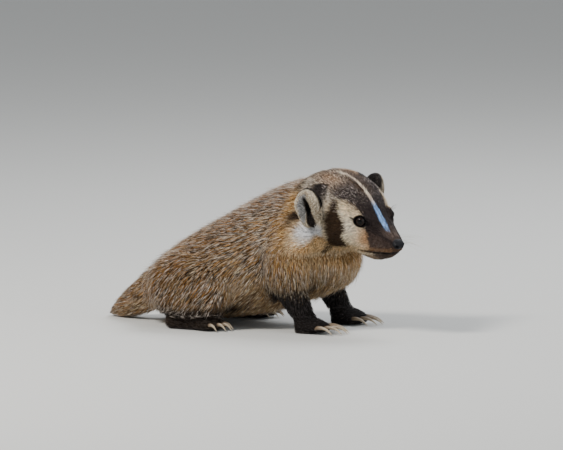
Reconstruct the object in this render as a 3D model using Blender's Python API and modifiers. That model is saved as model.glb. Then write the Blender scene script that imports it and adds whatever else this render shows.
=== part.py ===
# Young American badger, a still life-size model
# It leans on straight forelegs with its haunches down, and its head is turned to its right.
# Metres, +Z up. It faces +X, its right side is towards -Y, and its soles lie on z = 0.
import math
import random

import bmesh
import bpy
import numpy as np
from mathutils import Matrix, Vector
from mathutils.bvhtree import BVHTree

# Driving dimensions
GAP = 0.0003              # between neighbouring parts
NOSE_TIP = Vector((0.162, -0.0485, 0.0994))
HEAD_YAW = math.radians(-23)
HEAD_PITCH = math.radians(22)
HEAD_ROLL = math.radians(7)
VOXEL = 0.0035            # grid that blends the forms of the body
BODY_SHARE = 0.055        # faces kept on the trunk and legs
HEAD_SHARE = 0.21         # faces kept on the head
SOLE = 0.0                # level of the floor

# Head: distance back from the nose tip, half width, top, bottom, widest line, fullness
HEAD = [
    (0.0065, 0.0050, -0.0050, -0.0135, -0.0090, 2.05),
    (0.0090, 0.0085, -0.0030, -0.0165, -0.0095, 2.05),
    (0.0130, 0.0118, -0.0014, -0.0215, -0.0105, 2.05),
    (0.0200, 0.0150, 0.0018, -0.0285, -0.0120, 2.05),
    (0.0300, 0.0188, 0.0066, -0.0350, -0.0130, 2.05),
    (0.0400, 0.0228, 0.0106, -0.0390, -0.0130, 2.05),
    (0.0500, 0.0272, 0.0160, -0.0405, -0.0120, 2.05),
    (0.0600, 0.0325, 0.0208, -0.0415, -0.0115, 2.2),
    (0.0700, 0.0375, 0.0244, -0.0425, -0.0110, 2.45),
    (0.0850, 0.0415, 0.0272, -0.0440, -0.0100, 2.6),
    (0.1000, 0.0430, 0.0280, -0.0450, -0.0090, 2.6),
    (0.1150, 0.0440, 0.0270, -0.0440, -0.008, 2.6),
    (0.1350, 0.0400, 0.0215, -0.0380, -0.008, 2.3),
]
FACE_END = 0.102                          # where the short hair of the face gives way to locks
NAPE_CUT = 0.137                          # back from the nose, at the top of the cut behind the head
NAPE_TOP = 0.032
CUT_SLANT = 0.52                          # how much further forward the cut is for each unit down
EYE_RADIUS = 0.0062
EYE_BACK, EYE_SIDE, EYE_UP = 0.0505, 0.0188, 0.0042
NOSE_SIZE = (0.0062, 0.0068, 0.0050)      # half length, half width, half height
NOSE_BACK, NOSE_UP = 0.0100, -0.0064      # of its middle
NOSTRIL_RADIUS = 0.0014
NOSTRIL_BACK, NOSTRIL_SIDE, NOSTRIL_UP = 0.0055, 0.0038, -0.0066
MOUTH_FRONT = (0.0085, -0.0150)           # back and up, in the middle
MOUTH_CORNER = (0.0420, -0.0262)
MOUTH_GROOVE = 0.0008
EAR_PLACES = {-1: (0.1010, 0.0485, 0.0005), 1: (0.1040, 0.0450, 0.0000)}    # back, out, up
EAR_SIZE = (0.0125, 0.0145, 0.0215)       # half depth, half width, half height
EAR_WALL = 0.0035

# Trunk: x, top, bottom, half width of the coat's outline
TRUNK = [
    (-0.1460, 0.0440, 0.0240, 0.0180),
    (-0.1390, 0.0600, 0.0120, 0.0360),
    (-0.1200, 0.0770, 0.0070, 0.0560),
    (-0.0900, 0.0970, 0.0050, 0.0680),
    (-0.0600, 0.1140, 0.0060, 0.0710),
    (-0.0300, 0.1310, 0.0100, 0.0690),
    (0.0000, 0.1470, 0.0180, 0.0640),
    (0.0250, 0.1560, 0.0270, 0.0590),
    (0.0450, 0.1580, 0.0340, 0.0530),
    (0.0620, 0.1440, 0.0410, 0.0440),
    (0.0740, 0.1180, 0.0490, 0.0320),
    (0.0800, 0.0980, 0.0620, 0.0160),
]
TRUNK_FULLNESS = 2.3
TRUNK_WIDEST = 0.47       # share of the height at which the trunk is widest

# Limbs of the right side, as joints: x, distance out, z, half width, half height
FORELEG = [
    (0.0300, 0.0340, 0.1050, 0.0230, 0.0300),
    (0.0280, 0.0460, 0.0700, 0.0190, 0.0250),
    (0.0320, 0.0480, 0.0450, 0.0150, 0.0175),
    (0.0440, 0.0470, 0.0220, 0.0128, 0.0130),
    (0.0480, 0.0470, 0.0080, 0.0130, 0.0130),
    (0.0480, 0.0470, -0.0030, 0.0130, 0.0130),
]
FOREPAW = [
    (0.0390, 0.0470, 0.0070, 0.0080, 0.0070),
    (0.0450, 0.0470, 0.0080, 0.0140, 0.0100),
    (0.0580, 0.0465, 0.0080, 0.0165, 0.0100),
    (0.0700, 0.0460, 0.0065, 0.0155, 0.0075),
    (0.0740, 0.0460, 0.0060, 0.0120, 0.0050),
]
THIGH = [
    (-0.1200, 0.0480, 0.0400, 0.0120, 0.0160),
    (-0.1050, 0.0540, 0.0420, 0.0220, 0.0330),
    (-0.0800, 0.0580, 0.0420, 0.0250, 0.0380),
    (-0.0560, 0.0600, 0.0360, 0.0210, 0.0290),
    (-0.0400, 0.0600, 0.0300, 0.0130, 0.0170),
]
SHANK = [
    (-0.0500, 0.0620, 0.0300, 0.0150, 0.0160),
    (-0.0750, 0.0630, 0.0180, 0.0120, 0.0130),
    (-0.0960, 0.0620, 0.0100, 0.0090, 0.0095),
]
HINDPAW = [
    (-0.1040, 0.0610, 0.0060, 0.0070, 0.0060),
    (-0.0980, 0.0615, 0.0070, 0.0110, 0.0090),
    (-0.0700, 0.0630, 0.0065, 0.0125, 0.0090),
    (-0.0500, 0.0640, 0.0060, 0.0140, 0.0075),
    (-0.0420, 0.0640, 0.0055, 0.0120, 0.0050),
]
TAIL = [
    (-0.1250, 0.0000, 0.0460, 0.0180, 0.0180),
    (-0.1420, 0.0010, 0.0360, 0.0230, 0.0200),
    (-0.1600, 0.0040, 0.0240, 0.0220, 0.0190),
    (-0.1780, 0.0090, 0.0140, 0.0180, 0.0150),
    (-0.1930, 0.0140, 0.0075, 0.0120, 0.0090),
    (-0.2040, 0.0170, 0.0040, 0.0045, 0.0040),
]
LIMB_FULLNESS = 2.1

# Coat: flat locks that lie along the body, rooted in a core under their tips
CORE_DEPTH = 0.006        # from the coat's outline in to the core
TAIL_DEPTH = 0.0035       # the same on the tail
LOCK_LENGTH = 0.044
LOCK_WIDTH = 0.0195
LOCK_THICKNESS = 0.0028
LOCK_SINK = 0.0045        # of the root below the core
LOCK_RISE = 0.0075        # of the tip above the core
LOCK_ROW = 0.0215         # between roots along the lie
LOCK_PITCH = 0.0178       # between roots across the lie
LOCK_TRIES = 6000
LOCK_STEPS = (0.0, 0.30, 0.66, 0.88, 1.0)
LOCK_TAPER = (0.62, 1.0, 0.80, 0.40, 0.0)
TIP_CLEARANCE = 0.0050    # of a lock's tip above the floor
TAIL_ROOT = -0.140        # x where the tail's own, smaller locks begin
TAIL_LAST = -0.168        # and where the last of them are rooted
TAIL_LOCK_SHARE = 0.64    # of the size of a lock on the tail
NAPE_OVERLAP = 0.010      # of the first roots under the back of the head
SEED = 8

# Toes: five on each foot, spread as a fan
TOES = 5
FORE_TOE_START = Vector((0.0640, 0.0462, 0.0058))
HIND_TOE_START = Vector((-0.0500, 0.0640, 0.0052))
TOE_SPREAD = math.radians(6)              # between neighbouring toes
FORE_CLAW = 0.0190
HIND_CLAW = 0.0110

WORLD = (Vector((1, 0, 0)), Vector((0, 1, 0)), Vector((0, 0, 1)))

COLOURS = {
    "coat": (0.42, 0.36, 0.29), "mask": (0.07, 0.055, 0.05), "cream": (0.75, 0.68, 0.55),
    "leg": (0.05, 0.042, 0.04), "eye": (0.01, 0.008, 0.008), "nose": (0.03, 0.03, 0.035),
}


def clear_scene():
    for item in list(bpy.data.objects):
        bpy.data.objects.remove(item, do_unlink=True)


def head_axes():
    """Forward, left and up of the turned, lowered and tilted head."""
    turn = Matrix.Rotation(HEAD_YAW, 3, "Z") @ Matrix.Rotation(HEAD_PITCH, 3, "Y")
    turn = turn @ Matrix.Rotation(HEAD_ROLL, 3, "X")
    return turn @ Vector((1, 0, 0)), turn @ Vector((0, 1, 0)), turn @ Vector((0, 0, 1))


FORWARD, LEFT, UP = head_axes()


def head_point(back, side, up):
    """A point given in the head's own directions from the tip of the nose."""
    return NOSE_TIP - back * FORWARD + side * LEFT + up * UP


def smooth_rows(rows, steps):
    """Rows read along a smooth curve through the given rows."""
    rows = np.array(rows)
    padded = np.vstack([2 * rows[0] - rows[1], rows, 2 * rows[-1] - rows[-2]])
    result = []
    for a, b, c, d in zip(padded, padded[1:], padded[2:], padded[3:]):
        for step in range(steps):
            t = step / steps
            bend = (2 * a - 5 * b + 4 * c - d) * t * t + (3 * b - a - 3 * c + d) * t ** 3
            result.append((0.5 * (2 * b + (c - a) * t + bend)).tolist())
    result.append(rows[-1].tolist())
    return result


def section(centre, side_axis, up_axis, half_width, rise, drop, fullness, count):
    """A closed ring, rounder or squarer by its fullness, with its own rise and drop."""
    ring = []
    for i in range(count):
        angle = 2 * math.pi * i / count
        across = math.copysign(abs(math.cos(angle)) ** (2 / fullness), math.cos(angle))
        height = math.copysign(abs(math.sin(angle)) ** (2 / fullness), math.sin(angle))
        reach = rise if height > 0 else drop
        ring.append(centre + side_axis * half_width * across + up_axis * reach * height)
    return ring


def loft(name, rings):
    """A closed skin through rings of equal count, capped at both ends."""
    form = bmesh.new()
    rows = [[form.verts.new(point) for point in ring] for ring in rings]
    for lower, upper in zip(rows, rows[1:]):
        for i in range(len(lower)):
            j = (i + 1) % len(lower)
            form.faces.new((lower[i], lower[j], upper[j], upper[i]))
    form.faces.new(rows[0])
    form.faces.new(rows[-1])
    bmesh.ops.recalc_face_normals(form, faces=form.faces)
    return finish_mesh(name, form)


def finish_mesh(name, form):
    """An object from a bmesh, which is freed."""
    mesh = bpy.data.meshes.new(name)
    form.to_mesh(mesh)
    form.free()
    item = bpy.data.objects.new(name, mesh)
    bpy.context.scene.collection.objects.link(item)
    return item


def ellipsoid(name, centre, axes, sizes, segments=14, rings=8):
    """A sphere stretched along three axes."""
    form = bmesh.new()
    bmesh.ops.create_uvsphere(form, u_segments=segments, v_segments=rings, radius=1)
    columns = [Vector(axis) * size for axis, size in zip(axes, sizes)]
    turn = Matrix(columns).transposed().to_4x4()
    turn.translation = centre
    bmesh.ops.transform(form, matrix=turn, verts=form.verts)
    bmesh.ops.recalc_face_normals(form, faces=form.faces)
    return finish_mesh(name, form)


def box(name, centre, axes, sizes):
    """A box of the given half sizes along three axes."""
    form = bmesh.new()
    bmesh.ops.create_cube(form, size=2)
    columns = [Vector(axis) * size for axis, size in zip(axes, sizes)]
    turn = Matrix(columns).transposed().to_4x4()
    turn.translation = centre
    bmesh.ops.transform(form, matrix=turn, verts=form.verts)
    bmesh.ops.recalc_face_normals(form, faces=form.faces)
    return finish_mesh(name, form)


def limb(name, joints, side, steps=3, count=14):
    """A bent, tapering limb; side is -1 for the right and +1 for the left."""
    rows = smooth_rows(joints, steps)
    centres = [Vector((row[0], side * row[1], row[2])) for row in rows]
    rings = []
    for i, row in enumerate(rows):
        along = (centres[min(i + 1, len(rows) - 1)] - centres[max(i - 1, 0)]).normalized()
        across = Vector((0, 1, 0)) - along * along.y
        across.normalize()
        up = along.cross(across)
        rings.append(section(centres[i], across, up, row[3], row[4], row[4], LIMB_FULLNESS, count))
    return loft(name, rings)


def apply_modifiers(item):
    """The mesh becomes what its modifiers make of it."""
    graph = bpy.context.evaluated_depsgraph_get()
    mesh = bpy.data.meshes.new_from_object(item.evaluated_get(graph))
    item.modifiers.clear()
    item.data = mesh


def copy_of(item, name):
    twin = item.copy()
    twin.data = item.data.copy()
    twin.name = name
    bpy.context.scene.collection.objects.link(twin)
    return twin


def discard(*items):
    for item in items:
        bpy.data.objects.remove(item, do_unlink=True)


def combine(item, tool, operation):
    """A Boolean of the item with one tool, applied; the tool stays."""
    step = item.modifiers.new("combine", "BOOLEAN")
    step.operation = operation
    step.solver = "MANIFOLD"
    step.object = tool
    apply_modifiers(item)


def unite(item, pieces):
    """One union of the item with a collection of closed pieces, which are then removed."""
    group = bpy.data.collections.new(item.name + "_pieces")
    bpy.context.scene.collection.children.link(group)
    for piece in pieces:
        group.objects.link(piece)
    step = item.modifiers.new("unite", "BOOLEAN")
    step.operation = "UNION"
    step.solver = "MANIFOLD"
    step.operand_type = "COLLECTION"
    step.collection = group
    apply_modifiers(item)
    discard(*pieces)
    bpy.data.collections.remove(group)


def keep_largest(item):
    """Only the closed surface with the most area stays."""
    form = bmesh.new()
    form.from_mesh(item.data)
    unseen = set(form.verts)
    shells = []
    while unseen:
        shell = {unseen.pop()}
        edge_of_shell = list(shell)
        while edge_of_shell:
            vert = edge_of_shell.pop()
            for edge in vert.link_edges:
                other = edge.other_vert(vert)
                if other in unseen:
                    unseen.remove(other)
                    shell.add(other)
                    edge_of_shell.append(other)
        shells.append(shell)

    def area(shell):
        return sum(face.calc_area() for face in {face for vert in shell for face in vert.link_faces})

    largest = max(shells, key=area)
    spare = [vert for shell in shells if shell is not largest for vert in shell]
    bmesh.ops.delete(form, geom=spare, context="VERTS")
    bmesh.ops.triangulate(form, faces=form.faces)
    form.to_mesh(item.data)
    form.free()


def part_off(source, name, centre, axes, sizes):
    """Cuts a block out of the source: the block becomes a part, a thin gap away from the rest."""
    inner = box("inner", centre, axes, [size - GAP / 2 for size in sizes])
    outer = box("outer", centre, axes, [size + GAP / 2 for size in sizes])
    part = copy_of(source, name)
    combine(part, inner, "INTERSECT")
    combine(source, outer, "DIFFERENCE")
    discard(inner, outer)
    keep_largest(part)
    keep_largest(source)
    return part


def grown(item, name):
    """A copy whose surface stands one gap further out."""
    twin = copy_of(item, name)
    step = twin.modifiers.new("grow", "DISPLACE")
    step.strength = GAP
    step.mid_level = 0
    apply_modifiers(twin)
    return twin


def trunk_form(depth):
    rings = []
    for x, top, bottom, half_width in smooth_rows(TRUNK, 3):
        middle = bottom + TRUNK_WIDEST * (top - bottom)
        centre = Vector((x, 0, middle))
        rings.append(section(centre, WORLD[1], WORLD[2], half_width - depth,
                             top - middle - depth, middle - bottom, TRUNK_FULLNESS, 36))
    return loft("trunk", rings)


def head_form(depth):
    rings = []
    for back, half_width, top, bottom, widest, fullness in smooth_rows(HEAD, 3):
        inset = depth * min(1, max(0, (back - FACE_END) / (HEAD[-1][0] - FACE_END)))
        rings.append(section(head_point(back, 0, widest), LEFT, UP, half_width - inset,
                             top - widest - inset, widest - bottom - inset, fullness, 36))
    return loft("head_form", rings)


def thinner(joints, depth):
    """A limb's joints with both half sizes reduced, though never by more than half."""
    return [(*joint[:3], max(joint[3] - depth, joint[3] / 2), max(joint[4] - depth, joint[4] / 2))
            for joint in joints]


def blend_whole(depth):
    """Trunk, head, legs and tail as one smooth body, with the coated forms a depth inside."""
    whole = trunk_form(depth)
    pieces = [head_form(depth), limb("tail_form", thinner(TAIL, TAIL_DEPTH), 1)]
    for side in (-1, 1):
        pieces.append(limb("thigh", thinner(THIGH, depth), side))
        for name, joints in (("foreleg", FORELEG), ("forepaw", FOREPAW), ("shank", SHANK),
                             ("hindpaw", HINDPAW)):
            pieces.append(limb(name, joints, side))
    unite(whole, pieces)
    remesh = whole.modifiers.new("blend", "REMESH")
    remesh.mode = "VOXEL"
    remesh.voxel_size = VOXEL
    smooth = whole.modifiers.new("soften", "SMOOTH")
    smooth.factor = 0.5
    smooth.iterations = 8
    apply_modifiers(whole)
    return whole


def thinned(item, name, share):
    """A copy with only a share of the faces."""
    twin = copy_of(item, name)
    step = twin.modifiers.new("thin", "DECIMATE")
    step.ratio = share
    apply_modifiers(twin)
    return twin


def level_sole(item):
    """Cuts the item flat at the floor."""
    floor_block = box("floor_block", Vector((0, 0, SOLE - 0.1)), WORLD, (1, 1, 0.1))
    combine(item, floor_block, "DIFFERENCE")
    discard(floor_block)
    keep_largest(item)


def toe(start, heading, reach, claw, drop):
    """One toe with its claw, from inside the paw to the point."""
    along = Vector((math.cos(heading), math.sin(heading), 0))
    side = Vector((-along.y, along.x, 0))
    up = Vector((0, 0, 1))
    # distance forward, height, half width, half height
    rows = [
        (-0.0060, 0.0000, 0.0040, 0.0040),
        (0.7 * reach, 0.0006, 0.0044, 0.0044),
        (reach, 0.0000, 0.0024, 0.0026),
        (reach + 0.45 * claw, 0.0002, 0.0014, 0.0018),
        (reach + claw, -drop, 0.0005, 0.0006),
    ]
    rings = []
    for ahead, height, half_width, half_height in rows:
        centre = start + along * ahead + up * height
        rings.append(section(centre, side, up, half_width, half_height, half_height, 2, 6))
    return loft("toe", rings)


def add_toes(foot, side, start, claw, reach, heading):
    pieces = []
    for number in range(TOES):
        place = number - (TOES - 1) / 2
        angle = heading - side * place * TOE_SPREAD
        across = Vector((0, -side * place * 0.0062, 0))
        root = Vector((start.x - 0.0016 * place * place, side * start.y, start.z)) + across
        length = reach * (1 - 0.05 * place * place)
        pieces.append(toe(root, angle, length, claw, root.z - 0.0012))
    unite(foot, pieces)
    level_sole(foot)


def behind_cut(place):
    """How far a place lies behind the slanted cut between head and neck."""
    away = place - NOSE_TIP
    cut = NAPE_CUT - CUT_SLANT * (NAPE_TOP - away.dot(UP))
    return -away.dot(FORWARD) - cut


def lie_of_coat(place):
    """The way the hair points: back over the nape and spine, further down on the flanks and legs."""
    if place.x < TAIL_ROOT:
        return Vector((-0.80, 0.20, -0.45))
    side = min(1, abs(place.y) / 0.060)
    low = min(1, max(0, (0.13 - place.z) / 0.11))
    front = min(1, max(0, (place.x - 0.045) / 0.03))
    down = 0.30 + 0.45 * side * low + 1.2 * front
    trunk_lie = Vector((-1.0 + 0.75 * front, 0.12 * place.y / 0.06, -down))
    share = min(1, max(0, behind_cut(place) / 0.03)) if place.z > 0.085 else 1
    return trunk_lie * share + (-FORWARD - 0.35 * UP) * (1 - share)


def lock(reader, root, width, length, sway):
    """A flat, tapered lock: it leaves the core, follows its surface and lifts to a point."""
    place = root
    rings = []
    tip = root
    for i, t in enumerate(LOCK_STEPS):
        surface, normal, _, _ = reader.find_nearest(place)
        lie = lie_of_coat(surface)
        lie = (lie - normal * lie.dot(normal)).normalized()
        across = normal.cross(lie)
        lie = (lie + across * sway * t).normalized()
        across = normal.cross(lie)
        centre = surface + normal * (LOCK_RISE * t - LOCK_SINK * (1 - t))
        half = width / 2 * LOCK_TAPER[i]
        thick = LOCK_THICKNESS * (0.45 + 0.55 * LOCK_TAPER[i])
        if half > 0:
            rings.append([centre - across * half, centre + across * half, centre + normal * thick])
            place = surface + lie * length * (LOCK_STEPS[i + 1] - t)
        tip = centre
    form = bmesh.new()
    rows = [[form.verts.new(point) for point in ring] for ring in rings]
    point = form.verts.new(tip)
    for lower, upper in zip(rows, rows[1:]):
        for i in range(3):
            j = (i + 1) % 3
            form.faces.new((lower[i], lower[j], upper[j], upper[i]))
    for i in range(3):
        form.faces.new((rows[-1][i], rows[-1][(i + 1) % 3], point))
    form.faces.new(rows[0])
    bmesh.ops.triangulate(form, faces=form.faces)
    bmesh.ops.recalc_face_normals(form, faces=form.faces)
    return finish_mesh("lock", form), tip


def has_locks(place, normal):
    """Locks grow on the nape, back, sides, haunches and tail, not on the belly or lower legs."""
    on_face = place.z > 0.085 and behind_cut(place) < -NAPE_OVERLAP
    if on_face or place.x < TAIL_LAST or normal.z < -0.45 or place.z < 0.022:
        return False
    near_foreleg = place.x > 0.000 and abs(place.y) > 0.028 and place.z < 0.088
    near_hindfoot = place.x > -0.040 and place.z < 0.035
    return not near_foreleg and not near_hindfoot


def grow_coat(item):
    """Locks spread evenly over the item, fused with it in one union."""
    draw = random.Random(SEED)
    reader = surface_reader(item)
    mesh = item.data
    faces = [face for face in mesh.polygons if has_locks(face.center, face.normal)]
    areas = [face.area for face in faces]
    roots = []
    locks = []
    for face in draw.choices(faces, weights=areas, k=LOCK_TRIES):
        corners = [mesh.vertices[i].co for i in face.vertices]
        shares = [draw.random() for _ in corners]
        place = sum((corner * share for corner, share in zip(corners, shares)), Vector()) / sum(shares)
        lie = lie_of_coat(place)
        lie = (lie - face.normal * lie.dot(face.normal)).normalized()
        across = face.normal.cross(lie)
        small = TAIL_LOCK_SHARE if place.x < TAIL_ROOT else 1
        offsets = [(place - other) / small for other in roots]
        if any((gap.dot(lie) / LOCK_ROW) ** 2 + (gap.dot(across) / LOCK_PITCH) ** 2 < 1
               and gap.length < LOCK_LENGTH for gap in offsets):
            continue
        width = LOCK_WIDTH * small * draw.uniform(0.85, 1.1)
        length = LOCK_LENGTH * small * draw.uniform(0.9, 1.1)
        sway = draw.uniform(-0.25, 0.25)
        piece, tip = lock(reader, place, width, length, sway)
        if tip.z < TIP_CLEARANCE:
            discard(piece)
            continue
        roots.append(place)
        locks.append(piece)
    unite(item, locks)
    keep_largest(item)


def eye_direction(side):
    return (0.50 * FORWARD + side * 0.82 * LEFT + 0.28 * UP).normalized()


def eye_centre(side):
    return head_point(EYE_BACK, side * EYE_SIDE, EYE_UP)


def lid(side):
    """The raised rim of skin round one eye."""
    out = eye_direction(side)
    across = out.cross(UP).normalized()
    high = across.cross(out).normalized()
    rings = []
    for i in range(16):
        angle = 2 * math.pi * i / 16
        spoke = across * math.cos(angle) * 1.08 + high * math.sin(angle) * 0.92
        centre = eye_centre(side) + out * 0.0032 + spoke * (EYE_RADIUS * 0.93)
        rings.append(section(centre, spoke.normalized(), out, 0.0015, 0.0013, 0.0013, 2, 6))
    form = bmesh.new()
    rows = [[form.verts.new(point) for point in ring] for ring in rings]
    for lower, upper in zip(rows, rows[1:] + rows[:1]):
        for i in range(6):
            j = (i + 1) % 6
            form.faces.new((lower[i], lower[j], upper[j], upper[i]))
    bmesh.ops.recalc_face_normals(form, faces=form.faces)
    return finish_mesh("lid", form)


def surface_reader(item):
    return BVHTree.FromObject(item, bpy.context.evaluated_depsgraph_get())


def mouth_line(head, lift, depth, radius, name):
    """A thin tube laid along the mouth from one corner round the front to the other."""
    reader = surface_reader(head)
    points = []
    steps = 18
    for i in range(steps + 1):
        t = 2 * i / steps - 1
        ease = abs(t) ** 1.2
        back = MOUTH_FRONT[0] + (MOUTH_CORNER[0] - MOUTH_FRONT[0]) * ease
        up = MOUTH_FRONT[1] + (MOUTH_CORNER[1] - MOUTH_FRONT[1]) * ease + lift
        start = head_point(back + 0.004, 0, up)
        out = (LEFT * math.sin(t * math.pi / 2) + FORWARD * math.cos(t * math.pi / 2) ** 3).normalized()
        hit = reader.ray_cast(start, out)
        points.append(hit[0] - out * depth)
    rings = []
    for i, point in enumerate(points):
        along = (points[min(i + 1, steps)] - points[max(i - 1, 0)]).normalized()
        across = along.cross(UP).normalized()
        rings.append(section(point, across, across.cross(along), radius, radius, radius, 2, 6))
    return loft(name, rings)


def finish_head(head):
    """Lips, the line of the mouth, lids, eye sockets and the seat of the nose."""
    groove = mouth_line(head, 0, 0.0, MOUTH_GROOVE, "groove")
    upper_lip = mouth_line(head, 0.0017, 0.0008, 0.0015, "upper_lip")
    lower_lip = mouth_line(head, -0.0017, 0.0008, 0.0015, "lower_lip")
    unite(head, [upper_lip, lower_lip, lid(-1), lid(1)])
    combine(head, groove, "DIFFERENCE")
    discard(groove)
    for side in (-1, 1):
        ball = EYE_RADIUS + GAP
        socket = ellipsoid("socket", eye_centre(side), WORLD, (ball, ball, ball))
        combine(head, socket, "DIFFERENCE")
        discard(socket)
    seat = nose_form("seat", GAP)
    combine(head, seat, "DIFFERENCE")
    discard(seat)
    keep_largest(head)


def nose_form(name, extra):
    sizes = [size + extra for size in NOSE_SIZE]
    return ellipsoid(name, head_point(NOSE_BACK, 0, NOSE_UP), (FORWARD, LEFT, UP), sizes)


def make_nose():
    """The leathery pad with its two comma-shaped nostrils."""
    nose = nose_form("nose", 0)
    for side in (-1, 1):
        out = (0.62 * FORWARD + side * 0.75 * LEFT - 0.10 * UP).normalized()
        across = out.cross(UP).normalized()
        place = head_point(NOSTRIL_BACK, side * NOSTRIL_SIDE, NOSTRIL_UP)
        radius = NOSTRIL_RADIUS
        bore = ellipsoid("bore", place, (out, across, across.cross(out)),
                         (2 * radius, radius, 0.8 * radius), 8, 6)
        combine(nose, bore, "DIFFERENCE")
        discard(bore)
    keep_largest(nose)
    return nose


def make_ear(head, side, name):
    """A low rounded ear: an open cup seated on the side of the head."""
    out = (0.52 * FORWARD + side * 0.85 * LEFT + 0.05 * UP).normalized()
    high = (UP - out * out.dot(UP)).normalized()
    across = high.cross(out)
    back, outward, height = EAR_PLACES[side]
    centre = head_point(back, side * outward, height)
    ear = ellipsoid(name, centre, (out, across, high), EAR_SIZE)
    inner_size = [size - EAR_WALL for size in EAR_SIZE]
    hollow = ellipsoid("hollow", centre + out * 0.0085, (out, across, high), inner_size, 12, 7)
    combine(ear, hollow, "DIFFERENCE")
    seat = grown(head, "seat")
    combine(ear, seat, "DIFFERENCE")
    discard(hollow, seat)
    keep_largest(ear)
    return ear


def paint(item, colour, roughness):
    skin = bpy.data.materials.new(item.name)
    skin.use_nodes = True
    shader = skin.node_tree.nodes["Principled BSDF"]
    shader.inputs["Base Color"].default_value = (*COLOURS[colour], 1)
    shader.inputs["Roughness"].default_value = roughness
    shader.inputs["Metallic"].default_value = 0
    item.data.materials.clear()
    item.data.materials.append(skin)


def head_block():
    """The sheared block in front of the slanted cut, from above the crown to the throat."""
    slant = (UP - FORWARD * CUT_SLANT).normalized()
    sizes = (0.10, 0.12, 0.06)
    centre = head_point(NAPE_CUT, 0, NAPE_TOP) + FORWARD * sizes[0] + slant * (sizes[2] - 0.088)
    return centre, (FORWARD, LEFT, slant), sizes


def cut_head(whole):
    """The head and the trunk, each thinned to its own fineness before the cut."""
    fine = thinned(whole, "fine", HEAD_SHARE)
    coarse = thinned(whole, "coarse", BODY_SHARE)
    head = part_off(fine, "head", *head_block())
    grow_coat(coarse)
    spare = part_off(coarse, "spare", *head_block())
    discard(fine, spare)
    return head, coarse


def cut_legs(trunk, side, name):
    """Foreleg, thigh and their feet, parted by upright and level cuts."""
    parts = {}
    foreleg = part_off(trunk, "foreleg_" + name, Vector((0.050, side * 0.078, 0.033)), WORLD,
                       (0.046, 0.048, 0.040))
    parts["forefoot_" + name] = part_off(foreleg, "forefoot_" + name,
                                         Vector((0.060, side * 0.08, -0.020)), WORLD, (0.1, 0.07, 0.038))
    thigh = part_off(trunk, "thigh_" + name, Vector((-0.075, side * 0.095, 0.030)), WORLD,
                     (0.046, 0.050, 0.044))
    parts["hindfoot_" + name] = part_off(thigh, "hindfoot_" + name,
                                         Vector((-0.075, side * 0.08, -0.020)), WORLD, (0.1, 0.07, 0.034))
    parts["foreleg_" + name] = foreleg
    parts["thigh_" + name] = thigh
    add_toes(parts["forefoot_" + name], side, FORE_TOE_START, FORE_CLAW, 0.0130, 0)
    add_toes(parts["hindfoot_" + name], side, HIND_TOE_START, HIND_CLAW, 0.0120, side * math.radians(8))
    return parts


def cut_trunk(trunk):
    """Neck, shoulders, torso and tail, parted across the back."""
    parts = {}
    slope = Matrix.Rotation(math.radians(-38), 3, "Y")
    axes = [slope @ axis for axis in WORLD]
    parts["neck"] = part_off(trunk, "neck", Vector((0.068, 0, 0.136)) + axes[0] * 0.06, axes,
                             (0.10, 0.12, 0.12))
    parts["tail"] = part_off(trunk, "tail", Vector((-0.245, 0, 0.02)), WORLD, (0.10, 0.08, 0.10))
    parts["torso"] = part_off(trunk, "torso", Vector((-0.110, 0, 0.08)), WORLD, (0.10, 0.12, 0.12))
    parts["shoulders"] = trunk
    level_sole(parts["tail"])
    return parts


def centre_on_origin(parts):
    """Moves the whole animal so that its box is centred over the origin."""
    corners = np.array([vert.co for item in parts for vert in item.data.vertices])
    middle = (corners.min(axis=0) + corners.max(axis=0)) / 2
    shift = Matrix.Translation(Vector((-middle[0], -middle[1], 0)))
    for item in parts:
        item.data.transform(shift)


def main():
    clear_scene()
    home = bpy.data.collections.new("american_badger")
    bpy.context.scene.collection.children.link(home)
    whole = blend_whole(CORE_DEPTH)
    head, trunk = cut_head(whole)
    discard(whole)
    parts = {"head": head}
    for side, name in ((-1, "right"), (1, "left")):
        parts.update(cut_legs(trunk, side, name))
        parts["ear_" + name] = make_ear(head, side, "ear_" + name)
        ball = (EYE_RADIUS, EYE_RADIUS, EYE_RADIUS)
        parts["eye_" + name] = ellipsoid("eye_" + name, eye_centre(side), WORLD, ball)
    parts.update(cut_trunk(trunk))
    parts["nose"] = make_nose()
    finish_head(head)
    finishes = {"eye": ("eye", 0.05), "nose": ("nose", 0.35), "head": ("mask", 0.8), "ear": ("cream", 0.8),
                "foreleg": ("leg", 0.8), "forefoot": ("leg", 0.7), "hindfoot": ("leg", 0.7)}
    for name, item in parts.items():
        item.name = name
        item.data.name = name
        colour, roughness = finishes.get(name.split("_")[0], ("coat", 0.9))
        paint(item, colour, roughness)
        for group in list(item.users_collection):
            group.objects.unlink(item)
        home.objects.link(item)
    centre_on_origin(parts.values())


main()
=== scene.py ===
# %% [markdown]
# # A young American badger, as a museum would show it
# The solids of the animal are a fixed frame, and this script dresses them: one skin, glossy eyes,
# a leathery nose, horn claws, and a coat of fine tufts that carries the markings of the species.

# %% Load the frame
import math

import bpy
import numpy as np
from mathutils import Matrix, Vector, kdtree, noise
from mathutils.bvhtree import BVHTree


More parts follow.
